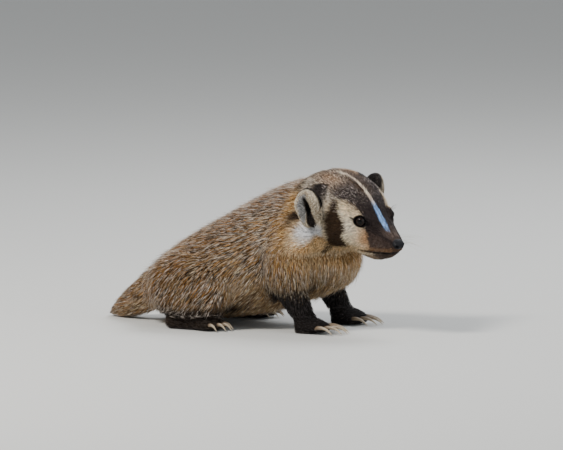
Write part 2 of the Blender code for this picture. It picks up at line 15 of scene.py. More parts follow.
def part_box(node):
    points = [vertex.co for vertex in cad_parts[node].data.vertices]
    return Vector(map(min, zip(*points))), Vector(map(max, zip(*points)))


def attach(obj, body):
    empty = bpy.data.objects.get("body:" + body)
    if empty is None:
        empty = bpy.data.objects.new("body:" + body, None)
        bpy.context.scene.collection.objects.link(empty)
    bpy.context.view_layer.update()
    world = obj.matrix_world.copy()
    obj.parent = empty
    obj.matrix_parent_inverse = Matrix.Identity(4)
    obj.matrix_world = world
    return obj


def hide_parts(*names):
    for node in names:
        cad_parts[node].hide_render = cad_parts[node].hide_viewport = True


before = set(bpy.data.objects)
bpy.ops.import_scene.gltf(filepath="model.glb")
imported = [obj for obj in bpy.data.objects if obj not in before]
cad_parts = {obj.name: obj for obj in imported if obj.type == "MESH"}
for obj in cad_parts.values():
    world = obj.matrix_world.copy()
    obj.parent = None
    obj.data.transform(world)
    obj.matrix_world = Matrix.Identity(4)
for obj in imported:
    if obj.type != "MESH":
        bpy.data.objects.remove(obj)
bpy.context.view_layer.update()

# %% [markdown]
# ## The head's own directions
# A badger's head is best measured from the tip of its nose: how far back, how far out, how far up.
# The head here is turned to its right, lowered, and tilted a little, so these three directions are
# turned with it. The right eye of the frame tells where the nose tip lies in the frame.

# %% Head directions
HEAD_TURN = Matrix.Rotation(math.radians(-23), 3, "Z") @ Matrix.Rotation(math.radians(22), 3, "Y")
HEAD_TURN = HEAD_TURN @ Matrix.Rotation(math.radians(7), 3, "X")
FORWARD = HEAD_TURN @ Vector((1, 0, 0))
LEFT = HEAD_TURN @ Vector((0, 1, 0))
UP = HEAD_TURN @ Vector((0, 0, 1))
EYE_RADIUS = 0.0062
EYE_BACK, EYE_SIDE, EYE_UP = 0.0505, 0.0188, 0.0042
MODEL_NOSE = Vector((0.162, -0.0485, 0.0994))

low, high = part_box("eye_right")
NOSE_TIP = (low + high) / 2 + EYE_BACK * FORWARD + EYE_SIDE * LEFT - EYE_UP * UP
SHIFT = NOSE_TIP - MODEL_NOSE


def head_point(back, side, up):
    return NOSE_TIP - back * FORWARD + side * LEFT + up * UP


print("nose tip at", tuple(NOSE_TIP), "shift", tuple(SHIFT))

# %% [markdown]
# ## The camera
# A long lens from far away flattens an animal as a wildlife photographer's does. The camera stands
# 24 degrees in front of the animal's right side and a little above it.

# %% Camera
PHOTO_WIDTH = 563                   # pixels
MILLIMETRES_A_PIXEL = 1.05
SENSOR_WIDTH = 36                   # millimetres
CAMERA_DISTANCE = 9.0
CAMERA_AZIMUTH, CAMERA_ELEVATION = 24, 6
AIM_HEIGHT = 0.1066
AIM = Vector((SHIFT.x, 0, AIM_HEIGHT))


def seen_from(azimuth, elevation):
    """Direction from the animal to a place round it, from two angles in degrees."""
    az, el = math.radians(azimuth), math.radians(elevation)
    return Vector((math.sin(az) * math.cos(el), -math.cos(az) * math.cos(el), math.sin(el)))


toward = seen_from(CAMERA_AZIMUTH, CAMERA_ELEVATION)
bpy.ops.object.select_all(action="DESELECT")
bpy.ops.object.camera_add(location=AIM + toward * CAMERA_DISTANCE,
                          rotation=toward.to_track_quat("Z", "Y").to_euler())
camera = bpy.context.object
camera.data.sensor_width = SENSOR_WIDTH
camera.data.lens = SENSOR_WIDTH * CAMERA_DISTANCE / (PHOTO_WIDTH * MILLIMETRES_A_PIXEL / 1000)
bpy.context.scene.camera = camera
print("lens", round(camera.data.lens), "mm")

# %% [markdown]
# ## Floor and light
# The floor is a plain pale sheet that reaches far behind the animal. One soft light from the upper
# left gives the coat its form, a second one fills the shadows, and a third one grazes the back.

# %% Floor and light
FLOOR_WIDTH = 60
FLOOR_LEVEL = -0.0002               # a hair's breadth under the soles
AIR_COLOUR, AIR_STRENGTH = (0.80, 0.83, 0.86, 1), 0.55


def shader_of(material):
    return material.node_tree.nodes["Principled BSDF"]


def dial(made, settings):
    """Sets sockets of a node by their names."""
    for name, value in settings.items():
        made.inputs[name].default_value = value


def plain_material(name, colour, roughness):
    material = bpy.data.materials.new(name)
    material.use_nodes = True
    dial(shader_of(material), {"Base Color": (*colour, 1), "Roughness": roughness})
    return material


bpy.ops.object.select_all(action="DESELECT")
bpy.ops.mesh.primitive_plane_add(size=FLOOR_WIDTH, location=(0, 0, FLOOR_LEVEL))
floor = bpy.context.object
floor.name = "studio_floor"
floor.data.materials.append(plain_material("pale_floor", (0.62, 0.62, 0.60), 0.8))


def soft_light(name, azimuth, elevation, distance, size, watts, colour):
    """An area light aimed at the middle of the animal."""
    aside = seen_from(azimuth, elevation)
    bpy.ops.object.light_add(type="AREA", location=AIM + aside * distance,
                             rotation=aside.to_track_quat("Z", "Y").to_euler())
    lamp = bpy.context.object
    lamp.name = name
    lamp.data.size = size
    lamp.data.energy = watts
    lamp.data.color = colour


# Name, azimuth, elevation, distance, size, watts and colour of each
soft_light("key_light", -30, 46, 2.2, 0.5, 50, (1.0, 0.96, 0.90))
soft_light("fill_light", 70, 22, 2.6, 1.8, 20, (0.90, 0.95, 1.0))
soft_light("rim_light", 170, 55, 2.2, 1.2, 34, (0.95, 0.97, 1.0))

world = bpy.data.worlds.new("studio_air")
world.use_nodes = True
dial(world.node_tree.nodes["Background"], {"Color": AIR_COLOUR, "Strength": AIR_STRENGTH})
bpy.context.scene.world = world

# %% [markdown]
# ## Forms of the body
# A sculptor starts from simple volumes: a trunk like a flattened barrel, a wedge of a head, and bent
# tapering limbs. Each one here is a grid rolled into a tube through rings, with its ends filled. The
# ring sizes are those of the coat's outline, and each form is made thinner by the depth of its hair.

# %% Rings and rolled forms
def only(*pieces):
    """Selects these pieces alone and makes the first one active."""
    bpy.ops.object.select_all(action="DESELECT")
    for piece in pieces:
        piece.select_set(True)
    bpy.context.view_layer.objects.active = pieces[0]


def smooth_rows(rows, steps):
    """Rows read along a smooth curve through the given rows."""
    rows = np.array(rows)
    padded = np.vstack([2 * rows[0] - rows[1], rows, 2 * rows[-1] - rows[-2]])
    result = []
    for a, b, c, d in zip(padded, padded[1:], padded[2:], padded[3:]):
        for step in range(steps):
            t = step / steps
            bend = (2 * a - 5 * b + 4 * c - d) * t * t + (3 * b - a - 3 * c + d) * t ** 3
            result.append((0.5 * (2 * b + (c - a) * t + bend)).tolist())
    result.append(rows[-1].tolist())
    return result


def section(centre, side_axis, up_axis, half_width, rise, drop, fullness, count):
    """A closed ring, rounder or squarer by its fullness, with its own rise and drop."""
    ring = []
    for i in range(count):
        angle = 2 * math.pi * i / count
        across = math.copysign(abs(math.cos(angle)) ** (2 / fullness), math.cos(angle))
        height = math.copysign(abs(math.sin(angle)) ** (2 / fullness), math.sin(angle))
        reach = rise if height > 0 else drop
        ring.append(centre + side_axis * half_width * across + up_axis * reach * height)
    return ring


def rolled_form(name, rings):
    """A grid rolled into a closed tube through rings of equal count, with its ends filled."""
    around = len(rings[0])
    bpy.ops.object.select_all(action="DESELECT")
    bpy.ops.mesh.primitive_grid_add(x_subdivisions=around, y_subdivisions=len(rings) - 1, size=1)
    form = bpy.context.object
    form.name = name
    points = np.array([ring[i % around] for ring in rings for i in range(around + 1)])
    form.data.vertices.foreach_set("co", points.ravel())
    bpy.ops.object.mode_set(mode="EDIT")
    bpy.ops.mesh.select_all(action="SELECT")
    bpy.ops.mesh.remove_doubles(threshold=1e-6)
    bpy.ops.mesh.fill_holes(sides=0)
    bpy.ops.mesh.normals_make_consistent(inside=False)
    bpy.ops.object.mode_set(mode="OBJECT")
    return form


LIMB_STEPS = 4                      # rings for each row of a limb's table
LIMB_COUNT = 24                     # points round a limb
LIMB_FULLNESS = 2.1


def limb(name, joints, side, depth):
    """A bent, tapering limb of x, distance out, z, half width and half height."""
    rows = smooth_rows(joints, LIMB_STEPS)
    centres = [Vector((row[0], side * row[1], row[2])) + SHIFT for row in rows]
    rings = []
    for i, row in enumerate(rows):
        along = (centres[min(i + 1, len(rows) - 1)] - centres[max(i - 1, 0)]).normalized()
        across = (Vector((0, 1, 0)) - along * along.y).normalized()
        wide, tall = (max(size - depth, size / 2) for size in row[3:])
        rings.append(section(centres[i], across, along.cross(across), wide, tall, tall,
                             LIMB_FULLNESS, LIMB_COUNT))
    return rolled_form(name, rings)


def ellipsoid(name, centre, axes, sizes, segments=48):
    """A sphere stretched along three axes, with its place put into its mesh."""
    turn = Matrix([Vector(axis) for axis in axes]).transposed()
    bpy.ops.object.select_all(action="DESELECT")
    bpy.ops.mesh.primitive_uv_sphere_add(segments=segments, ring_count=segments // 2, radius=1,
                                         location=centre, rotation=turn.to_euler(), scale=sizes)
    form = bpy.context.object
    form.name = name
    bpy.ops.object.transform_apply(location=True, rotation=True, scale=True)
    return form


# %% [markdown]
# ## The sizes of the animal
# These tables repeat the driving sizes of the solids, so that the skin lies inside them all over.

# %% Sizes of trunk, head and limbs
# Head: back from the nose tip, half width, top, bottom, widest line, fullness
HEAD = [
    (0.0065, 0.0050, -0.0050, -0.0135, -0.0090, 2.05),
    (0.0090, 0.0085, -0.0030, -0.0165, -0.0095, 2.05),
    (0.0130, 0.0118, -0.0014, -0.0215, -0.0105, 2.05),
    (0.0200, 0.0150, 0.0018, -0.0285, -0.0120, 2.05),
    (0.0300, 0.0188, 0.0066, -0.0350, -0.0130, 2.05),
    (0.0400, 0.0228, 0.0106, -0.0390, -0.0130, 2.05),
    (0.0500, 0.0272, 0.0160, -0.0405, -0.0120, 2.05),
    (0.0600, 0.0325, 0.0208, -0.0415, -0.0115, 2.2),
    (0.0700, 0.0375, 0.0244, -0.0425, -0.0110, 2.45),
    (0.0850, 0.0415, 0.0272, -0.0440, -0.0100, 2.6),
    (0.1000, 0.0430, 0.0280, -0.0450, -0.0090, 2.6),
    (0.1150, 0.0440, 0.0270, -0.0440, -0.008, 2.6),
    (0.1350, 0.0400, 0.0215, -0.0380, -0.008, 2.3),
]
# How deep the hair lies on the head, from the nose tip back
HEAD_HAIR_DEPTH = ((0, 0.0010), (0.050, 0.0016), (0.085, 0.0030), (0.115, 0.0045), (0.135, 0.0065))
# Trunk: x, top, bottom, half width
TRUNK = [
    (-0.1460, 0.0440, 0.0240, 0.0180),
    (-0.1390, 0.0600, 0.0120, 0.0360),
    (-0.1200, 0.0770, 0.0070, 0.0560),
    (-0.0900, 0.0970, 0.0050, 0.0680),
    (-0.0600, 0.1140, 0.0060, 0.0710),
    (-0.0300, 0.1310, 0.0100, 0.0690),
    (0.0000, 0.1470, 0.0180, 0.0640),
    (0.0250, 0.1560, 0.0270, 0.0590),
    (0.0450, 0.1580, 0.0340, 0.0530),
    (0.0620, 0.1440, 0.0410, 0.0440),
    (0.0740, 0.1180, 0.0490, 0.0320),
    (0.0800, 0.0980, 0.0620, 0.0160),
]
BODY_HAIR_DEPTH = 0.0065
BELLY_HAIR_DEPTH = 0.0045
LEG_HAIR_DEPTH = 0.0020
PAW_HAIR_DEPTH = 0.0009
# Limbs of the right side: x, distance out, z, half width, half height
FORELEG = [
    (0.0300, 0.0340, 0.1050, 0.0230, 0.0300),
    (0.0280, 0.0460, 0.0700, 0.0190, 0.0250),
    (0.0320, 0.0480, 0.0450, 0.0150, 0.0175),
    (0.0440, 0.0470, 0.0220, 0.0128, 0.0130),
    (0.0480, 0.0470, 0.0080, 0.0130, 0.0130),
    (0.0480, 0.0470, -0.0030, 0.0130, 0.0130),
]
FOREPAW = [
    (0.0390, 0.0470, 0.0070, 0.0080, 0.0070),
    (0.0450, 0.0470, 0.0080, 0.0140, 0.0100),
    (0.0580, 0.0465, 0.0080, 0.0165, 0.0100),
    (0.0700, 0.0460, 0.0065, 0.0155, 0.0075),
    (0.0740, 0.0460, 0.0060, 0.0120, 0.0050),
]
THIGH = [
    (-0.1200, 0.0480, 0.0400, 0.0120, 0.0160),
    (-0.1050, 0.0540, 0.0420, 0.0220, 0.0330),
    (-0.0800, 0.0580, 0.0420, 0.0250, 0.0380),
    (-0.0560, 0.0600, 0.0360, 0.0210, 0.0290),
    (-0.0400, 0.0600, 0.0300, 0.0130, 0.0170),
]
SHANK = [
    (-0.0500, 0.0620, 0.0300, 0.0150, 0.0160),
    (-0.0750, 0.0630, 0.0180, 0.0120, 0.0130),
    (-0.0960, 0.0620, 0.0100, 0.0090, 0.0095),
]
HINDPAW = [
    (-0.1040, 0.0610, 0.0060, 0.0070, 0.0060),
    (-0.0980, 0.0615, 0.0070, 0.0110, 0.0090),
    (-0.0700, 0.0630, 0.0065, 0.0125, 0.0090),
    (-0.0500, 0.0640, 0.0060, 0.0140, 0.0075),
    (-0.0420, 0.0640, 0.0055, 0.0120, 0.0050),
]
TAIL = [
    (-0.1250, 0.0000, 0.0460, 0.0180, 0.0180),
    (-0.1420, 0.0010, 0.0360, 0.0230, 0.0200),
    (-0.1600, 0.0040, 0.0240, 0.0220, 0.0190),
    (-0.1780, 0.0090, 0.0140, 0.0180, 0.0150),
    (-0.1930, 0.0140, 0.0075, 0.0120, 0.0090),
    (-0.2040, 0.0170, 0.0040, 0.0045, 0.0040),
]
TAIL_HAIR_DEPTH = 0.0045
print(len(HEAD), "head rings and", len(TRUNK), "trunk rings")

# %% [markdown]
# ## Toes
# A badger digs with five toes on each foot. The toes are short fingers of flesh, spread as a fan,
# and each carries a claw that is longer on the forefoot. The claws come later, as pieces of horn.

# %% Toe places
TOES = 5
TOE_SPREAD = math.radians(6)
TOE_SPACING = 0.0062
TOE_SETBACK = 0.0016      # of the toes beside the middle one; the outer ones lie back four times that
TOE_SHORTENING = 0.05     # share of their length that they lose, in the same way
FORE_TOES = {"start": Vector((0.0640, 0.0462, 0.0058)), "reach": 0.0130, "claw": 0.0190, "turn": 0}
HIND_TOES = {"start": Vector((-0.0500, 0.0640, 0.0052)), "reach": 0.0120, "claw": 0.0110,
             "turn": math.radians(8)}


def toe_places(side, foot):
    """Root, direction and length of each toe of one foot."""
    places = []
    for number in range(TOES):
        place = number - (TOES - 1) / 2
        angle = side * foot["turn"] - side * place * TOE_SPREAD
        start = foot["start"]
        root = Vector((start.x - TOE_SETBACK * place * place,
                       side * start.y - side * place * TOE_SPACING, start.z)) + SHIFT
        along = Vector((math.cos(angle), math.sin(angle), 0))
        places.append((root, along, foot["reach"] * (1 - TOE_SHORTENING * place * place)))
    return places


def finger(name, root, along, rows, steps, belly, count):
    """A form rolled along a toe, through rows of distance ahead, height, half width and rise."""
    side, up = Vector((-along.y, along.x, 0)), Vector((0, 0, 1))
    rings = [section(root + along * ahead + up * height, side, up, wide, tall, belly * tall, 2, count)
             for ahead, height, wide, tall in smooth_rows(rows, steps)]
    return rolled_form(name, rings)


def toe(root, along, reach):
    """The flesh of one toe, arched over its last joint."""
    rows = [(-0.0060, 0.0000, 0.0036, 0.0036), (0.2 * reach, 0.0012, 0.0040, 0.0042),
            (0.6 * reach, 0.0012, 0.0038, 0.0042), (0.92 * reach, 0.0000, 0.0032, 0.0034),
            (1.04 * reach, -0.0004, 0.0016, 0.0018)]
    return finger("toe", root, along, rows, 3, 1, 12)


print(TOES, "toes on each foot,", TOE_SPACING * 1000, "mm apart")


# %% [markdown]
# ## One skin
# The forms overlap as clay does before it is blended. They are joined, and a voxel remesh makes one
# closed skin of them. It is done twice: coarsely, so that legs and neck flow into the trunk, and then
# finely with the ears and toes added, so that these stay crisp.

# %% Blended body
def joined(name, pieces):
    """Makes one piece of several, under a new name."""
    only(*pieces)
    bpy.ops.object.join()
    pieces[0].name = name
    return pieces[0]


def remeshed(piece, voxel, softness, passes):
    """One closed surface round everything in the piece, smoothed a little."""
    blend = piece.modifiers.new("blend", "REMESH")
    blend.mode = "VOXEL"
    blend.voxel_size = voxel
    soften = piece.modifiers.new("soften", "SMOOTH")
    soften.factor = softness
    soften.iterations = passes
    only(piece)
    bpy.ops.object.modifier_apply(modifier=blend.name)
    bpy.ops.object.modifier_apply(modifier=soften.name)


TRUNK_FULLNESS = 2.3
TRUNK_WIDEST = 0.47                 # where its widest line lies, as a share of its height
TRUNK_COUNT, HEAD_COUNT = 56, 64    # points round each ring
BODY_VOXEL = 0.0025


def trunk_form():
    rings = []
    for x, top, bottom, half_width in smooth_rows(TRUNK, 4):
        middle = bottom + TRUNK_WIDEST * (top - bottom)
        rings.append(section(Vector((x, 0, middle)) + SHIFT, Vector((0, 1, 0)), Vector((0, 0, 1)),
                             half_width - BODY_HAIR_DEPTH, top - middle - BODY_HAIR_DEPTH,
                             middle - bottom - BELLY_HAIR_DEPTH, TRUNK_FULLNESS, TRUNK_COUNT))
    return rolled_form("trunk", rings)


def head_form():
    rings = []
    places, depths = zip(*HEAD_HAIR_DEPTH)
    for back, half_width, top, bottom, widest, fullness in smooth_rows(HEAD, 5):
        depth = float(np.interp(back, places, depths))
        rings.append(section(head_point(back, 0, widest), LEFT, UP, half_width - depth,
                             top - widest - depth, widest - bottom - depth, fullness, HEAD_COUNT))
    return rolled_form("head_form", rings)


LIMBS = (("thigh_form", THIGH, BODY_HAIR_DEPTH), ("foreleg_form", FORELEG, LEG_HAIR_DEPTH),
         ("shank_form", SHANK, LEG_HAIR_DEPTH), ("forepaw_form", FOREPAW, PAW_HAIR_DEPTH),
         ("hindpaw_form", HINDPAW, PAW_HAIR_DEPTH))
forms = [trunk_form(), head_form(), limb("tail_form", TAIL, 1, TAIL_HAIR_DEPTH)]
for side in (-1, 1):
    forms += [limb(name, rows, side, depth) for name, rows, depth in LIMBS]
skin = joined("skin", forms)
remeshed(skin, BODY_VOXEL, softness=0.5, passes=6)
print("body form:", len(skin.data.polygons), "faces")

# %% [markdown]
# ## Ears
# A badger's ear is low and round, a cup with a thick furred rim that opens forward and out. The cup
# is a stretched sphere, and Boolean modifiers take two smaller ones out of it: a shallow bowl, and
# in front of that the deep slit that leads inside.

# %% Ear cups
EAR_PLACES = {-1: (0.1010, 0.0485, 0.0005), 1: (0.1040, 0.0450, 0.0)}     # back, out, up
EAR_FACING = (0.52, 0.85, 0.05)                   # how far it opens forward, outward and up
EAR_SIZE = Vector((0.0125, 0.0145, 0.0215))
EAR_HAIR_DEPTH = 0.0007
DISH_SIZE = Vector((0.0088, 0.0096, 0.0180))      # the shallow bowl: half depth, width and height
DISH_OUT, DISH_BACK = 0.0115, 0.0026
SLIT_SIZE = Vector((0.0115, 0.0044, 0.0160))      # the deep slit in front of it
SLIT_OUT, SLIT_FORWARD, SLIT_UP = 0.0075, 0.0030, -0.0040
SLIT_LEAN = math.radians(25)
SLIT_NARROWING = 0.35
EAR_TIP_BACK = {-1: 0.0030, 1: -0.0020}           # how far the top is tipped to the rear
EAR_NARROWING = 0.45                              # how much of its rear half the lower end loses
EAR_ROOT_SIZE = (0.0080, 0.0060, 0.0122)
EAR_ROOT_IN, EAR_ROOT_FORWARD, EAR_ROOT_DOWN = 0.0014, 0.0112, 0.0072


def ear_directions(side):
    """Out of the opening, across it towards the rear or front, and up the ear."""
    ahead, outward, upward = EAR_FACING
    out = (ahead * FORWARD + side * outward * LEFT + upward * UP).normalized()
    high = (UP - out * out.dot(UP)).normalized()
    return out, high.cross(out), high


def ear_centre(side):
    back, outward, height = EAR_PLACES[side]
    return head_point(back, side * outward, height)      # the solids' own place


def slit_place(side):
    """Middle and axes of the deep slit that leads into the ear, in front of the bowl."""
    out, across, high = ear_directions(side)
    fore = -side * across
    tall = high * math.cos(SLIT_LEAN) - fore * math.sin(SLIT_LEAN)
    middle = ear_centre(side) + out * SLIT_OUT + fore * SLIT_FORWARD + high * SLIT_UP
    return middle, (out, tall.cross(out), tall)


def dish_place(side):
    """Middle of the shallow bowl, which leaves a thick fold of ear in front of it."""
    out, across, _ = ear_directions(side)
    return ear_centre(side) + out * DISH_OUT + side * across * DISH_BACK


def tip_back(form, side):
    """Leans a form of the ear to the rear and narrows its lower end towards the notch."""
    _, across, high = ear_directions(side)
    for vertex in form.data.vertices:
        offset = vertex.co - ear_centre(side)
        height = offset.dot(high) / EAR_SIZE.z
        rear = max(0, side * offset.dot(across))
        step = EAR_TIP_BACK[side] * height - EAR_NARROWING * rear * min(1, max(0, -height))
        vertex.co += across * side * step


def ear_cup(side):
    """The cup of one ear with its bowl and its slit taken out."""
    axes = ear_directions(side)
    cup = ellipsoid("ear", ear_centre(side), axes, EAR_SIZE - Vector([EAR_HAIR_DEPTH] * 3))
    dish = ellipsoid("dish", dish_place(side), axes, DISH_SIZE)
    middle, slit_axes = slit_place(side)
    slit = ellipsoid("slit", middle, slit_axes, SLIT_SIZE)
    for form in (cup, dish, slit):
        tip_back(form, side)
    only(cup)
    for hollow in (dish, slit):
        cut = cup.modifiers.new("cut", "BOOLEAN")
        cut.operation = "DIFFERENCE"
        cut.object = hollow
        bpy.ops.object.modifier_apply(modifier=cut.name)
        bpy.data.objects.remove(hollow)
    return cup


def ear_root(side):
    """The muscle in front of the ear, which carries its front fold down into the cheek."""
    out, across, high = ear_directions(side)
    middle = ear_centre(side) - out * EAR_ROOT_IN - side * across * EAR_ROOT_FORWARD
    return ellipsoid("ear_root", middle - high * EAR_ROOT_DOWN, (out, across, high), EAR_ROOT_SIZE)


additions = [ear_cup(-1), ear_cup(1)]
for side in (-1, 1):
    additions.append(ear_root(side))
    for foot in (FORE_TOES, HIND_TOES):
        additions += [toe(*place) for place in toe_places(side, foot)]
skin = joined("skin", [skin] + additions)
SKIN_VOXEL = 0.0016
remeshed(skin, SKIN_VOXEL, softness=0.5, passes=3)
print("skin with ears and toes:", len(skin.data.polygons), "faces")

# %% [markdown]
# ## A finer face
# Lids, lips and nostrils are a millimetre across, finer than the faces of the skin. The skin round
# them is subdivided in edit mode, twice near the eyes and the mouth, and relaxed so that no step
# shows where fine faces meet coarse ones.

# %% Finer faces where the features are
def read(items, what, width=3):
    """One property of all the items of a mesh, as the rows of an array."""
    values = np.empty(len(items) * width)
    items.foreach_get(what, values)
    return values.reshape(-1, width)


def points_of(mesh):
    return read(mesh.vertices, "co")


def move_points(mesh, points):
    mesh.vertices.foreach_set("co", points.ravel())
    mesh.update()


def head_places(points):
    """How far back, out to the left and up each point is from the tip of the nose."""
    away = points - np.array(NOSE_TIP)
    return -away @ np.array(FORWARD), away @ np.array(LEFT), away @ np.array(UP)


def eye_centre(side):
    return head_point(EYE_BACK, side * EYE_SIDE, EYE_UP)


EYE_FACING = (0.50, 0.82, 0.28)           # how far it looks forward, outward and up
NOSE_SIZE = (0.0062, 0.0068, 0.0050)      # half length, half width, half height
NOSE_BACK, NOSE_UP = 0.0100, -0.0064      # of its middle
MOUTH_FRONT = (0.0085, -0.0150)           # back and up of the two ends of its line
MOUTH_CORNER = (0.0420, -0.0262)
# How far finer faces reach on the muzzle, beside the line of the mouth and round an eye
FINE_FRONT, FINE_BACK, FINE_DOWN, FINE_OUT = -0.01, 0.066, -0.036, 0.05
FINE_LIP, FINE_LIP_BACK, FINE_LIP_DOWN, FINE_LIP_OUT = 0.0036, 0.046, -0.008, 0.04
FINE_ROUND_EYE = 0.0112


def eye_direction(side):
    ahead, outward, upward = EYE_FACING
    return (ahead * FORWARD + side * outward * LEFT + upward * UP).normalized()


def above_mouth(back, up):
    """Height over the line where the lips meet."""
    line = np.interp(back, (MOUTH_FRONT[0], MOUTH_CORNER[0]), (MOUTH_FRONT[1], MOUTH_CORNER[1]))
    return up - line


def refine(piece, chosen, passes):
    """Subdivides the chosen faces once and relaxes them."""
    mesh = piece.data
    only(piece)
    bpy.ops.object.mode_set(mode="EDIT")
    bpy.ops.mesh.select_mode(type="FACE")
    bpy.ops.mesh.select_all(action="DESELECT")
    bpy.ops.object.mode_set(mode="OBJECT")
    mesh.polygons.foreach_set("select", chosen(mesh))
    bpy.ops.object.mode_set(mode="EDIT")
    bpy.ops.mesh.subdivide(number_cuts=1)
    bpy.ops.mesh.vertices_smooth(factor=0.5, repeat=passes)
    bpy.ops.object.mode_set(mode="OBJECT")


def on_muzzle(mesh):
    back, side, up = head_places(read(mesh.polygons, "center"))
    ahead = (back < FINE_BACK) & (back > FINE_FRONT)
    return ahead & (up > FINE_DOWN) & (np.abs(side) < FINE_OUT)


def near_features(mesh):
    middles = read(mesh.polygons, "center")
    back, side, up = head_places(middles)
    near = (np.abs(above_mouth(back, up)) < FINE_LIP) & (back < FINE_LIP_BACK)
    near &= (up < FINE_LIP_DOWN) & (np.abs(side) < FINE_LIP_OUT)
    for eye in (-1, 1):
        near |= np.linalg.norm(middles - np.array(eye_centre(eye)), axis=1) < FINE_ROUND_EYE
    return near


refine(skin, on_muzzle, passes=2)
refine(skin, near_features, passes=2)
print("skin with a fine face:", len(skin.data.polygons), "faces")

# %% [markdown]
# ## Eyelids, brow and lips
# The eye sits deep, so its lids are not rings laid on the face but the skin itself, drawn in behind
# the ball and folded up round it. The vertices are moved by their distance from the middle of the
# opening. The lips are made the same way, as a groove with a soft roll above and below it.

# %% Sculpt the face
LID_OPENING = 0.0055
LID_THICKNESS = 0.0009
LID_SPREAD = 0.0048
LID_WIDE, LID_HIGH = 1.20, 0.93     # how wide and high the opening is, for a round one of 1
EYE_LIMIT = 0.012                   # nothing further out than this belongs to an eye
LID_ROLL, LID_CREASE = 0.0003, 0.0004
BEHIND_BALL = 0.0016                # how deep the skin lies behind the ball's surface
MOUTH_GROOVE, UPPER_LIP, LOWER_LIP = 0.0011, 0.0005, 0.0004
JAW_TUCK = 0.0020                   # how much the lower jaw draws in
BROW_SWELL, BRIDGE_HOLLOW = 0.0009, 0.0005


def smoothly(start, end, values):
    """A soft step from 0 at the start to 1 at the end."""
    t = np.clip((values - start) / (end - start), 0, 1)
    return t * t * (3 - 2 * t)


def hill(values, width):
    """A soft bump of height 1 round 0."""
    return np.exp(-(values / width) ** 2)


def lid_ring(along, high):
    """Distance from the eye's middle, measured so that the almond opening is a circle."""
    return np.sqrt((along / LID_WIDE) ** 2 + (high / LID_HIGH) ** 2)


def eye_frame(side, points):
    """How far out of the eye's middle, along its slit and above it the points are."""
    out = eye_direction(side)
    along = out.cross(UP).normalized()
    high = along.cross(out).normalized()
    offset = points - np.array(eye_centre(side))
    return offset @ np.array(out), offset @ np.array(along), offset @ np.array(high)


def fold_lids(points):
    """Draws the skin in behind each ball and folds it up round the opening."""
    rim = math.sqrt(EYE_RADIUS ** 2 - LID_OPENING ** 2) + LID_THICKNESS
    for side in (-1, 1):
        outward, along, high = eye_frame(side, points)
        ring = lid_ring(along, high)
        near = (ring < LID_OPENING + LID_SPREAD) & (outward > -0.002) & (outward < EYE_LIMIT)
        ball = np.sqrt(np.maximum(EYE_RADIUS ** 2 - np.minimum(ring, EYE_RADIUS) ** 2, 0))
        crease = LID_CREASE * hill(ring - LID_OPENING - 0.0021, 0.0005) * smoothly(0, 0.002, high)
        lid = rim + LID_ROLL * hill(ring - LID_OPENING - 0.0009, 0.0007) - crease
        lid = lid + (outward - lid) * smoothly(LID_OPENING + 0.0006, LID_OPENING + LID_SPREAD, ring)
        behind = ball - BEHIND_BALL
        wanted = behind + (lid - behind) * smoothly(LID_OPENING - 0.0002, LID_OPENING + 0.0004, ring)
        step = np.where(near, wanted - outward, 0)
        points = points + step[:, None] * np.array(eye_direction(side))
    return points


def shape_muzzle(points, normals):
    """Lips, the line between them, a brow over each eye and the hollow beside the nose bridge."""
    back, side, up = head_places(points)
    over = above_mouth(back, up)
    swell = -MOUTH_GROOVE * hill(over, 0.00065)
    swell += UPPER_LIP * hill(over - 0.0019, 0.0011) + LOWER_LIP * hill(over + 0.0017, 0.0010)
    swell *= smoothly(0.045, 0.039, back) * smoothly(-0.006, -0.009, up)
    tuck = JAW_TUCK * smoothly(-0.002, -0.007, over) * smoothly(0.016, 0.026, back)
    swell -= tuck * smoothly(0.070, 0.050, back)
    for eye in (-1, 1):
        outward, along, high = eye_frame(eye, points)
        brow = hill(high - 0.0088, 0.0035) * hill(along, 0.009) * (outward > 0)
        swell += BROW_SWELL * brow
        hollow = BRIDGE_HOLLOW * hill(side - eye * 0.012, 0.004) * hill(back - 0.036, 0.010)
        swell -= hollow * (up > -0.004)
    return points + normals * swell[:, None]


def normals_of(mesh):
    return read(mesh.vertex_normals, "vector")


SOLE_LEVEL = 0.0002
points = shape_muzzle(points_of(skin.data), normals_of(skin.data))
points = fold_lids(points)
points[:, 2] = np.maximum(points[:, 2], SOLE_LEVEL)
move_points(skin.data, points)
only(skin)
bpy.ops.object.shade_smooth()
print("lids fold", round(LID_THICKNESS * 1000, 1), "mm over the eyes")

# %% [markdown]
# ## Unwrapping the skin
# Every hair will be baked to a small patch at its root's place on this unwrap, so it has to be the
# skin's own shape laid flat, and not a view from one side.

# %% Unwrap
BAKE_MAP = "OFBake"
ISLAND_ANGLE, ISLAND_MARGIN = math.radians(66), 0.004
only(skin)
bpy.ops.object.modifier_add(type="TRIANGULATE")
bpy.ops.object.modifier_apply(modifier=skin.modifiers[0].name)
bpy.ops.object.mode_set(mode="EDIT")
bpy.ops.mesh.select_all(action="SELECT")
bpy.ops.uv.smart_project(angle_limit=ISLAND_ANGLE, island_margin=ISLAND_MARGIN)
bpy.ops.object.mode_set(mode="OBJECT")
skin.data.uv_layers[0].name = BAKE_MAP
print("unwrapped", len(skin.data.polygons), "triangles")

# %% [markdown]
# ## Where each stretch of coat lies
# Length, lie and colour of the hair all depend on where it grows. One function measures every point
# once: its place on the head as a distance back and an angle round from the crown, its place on the
# trunk, and whether it is on a leg, foot, tail or ear.

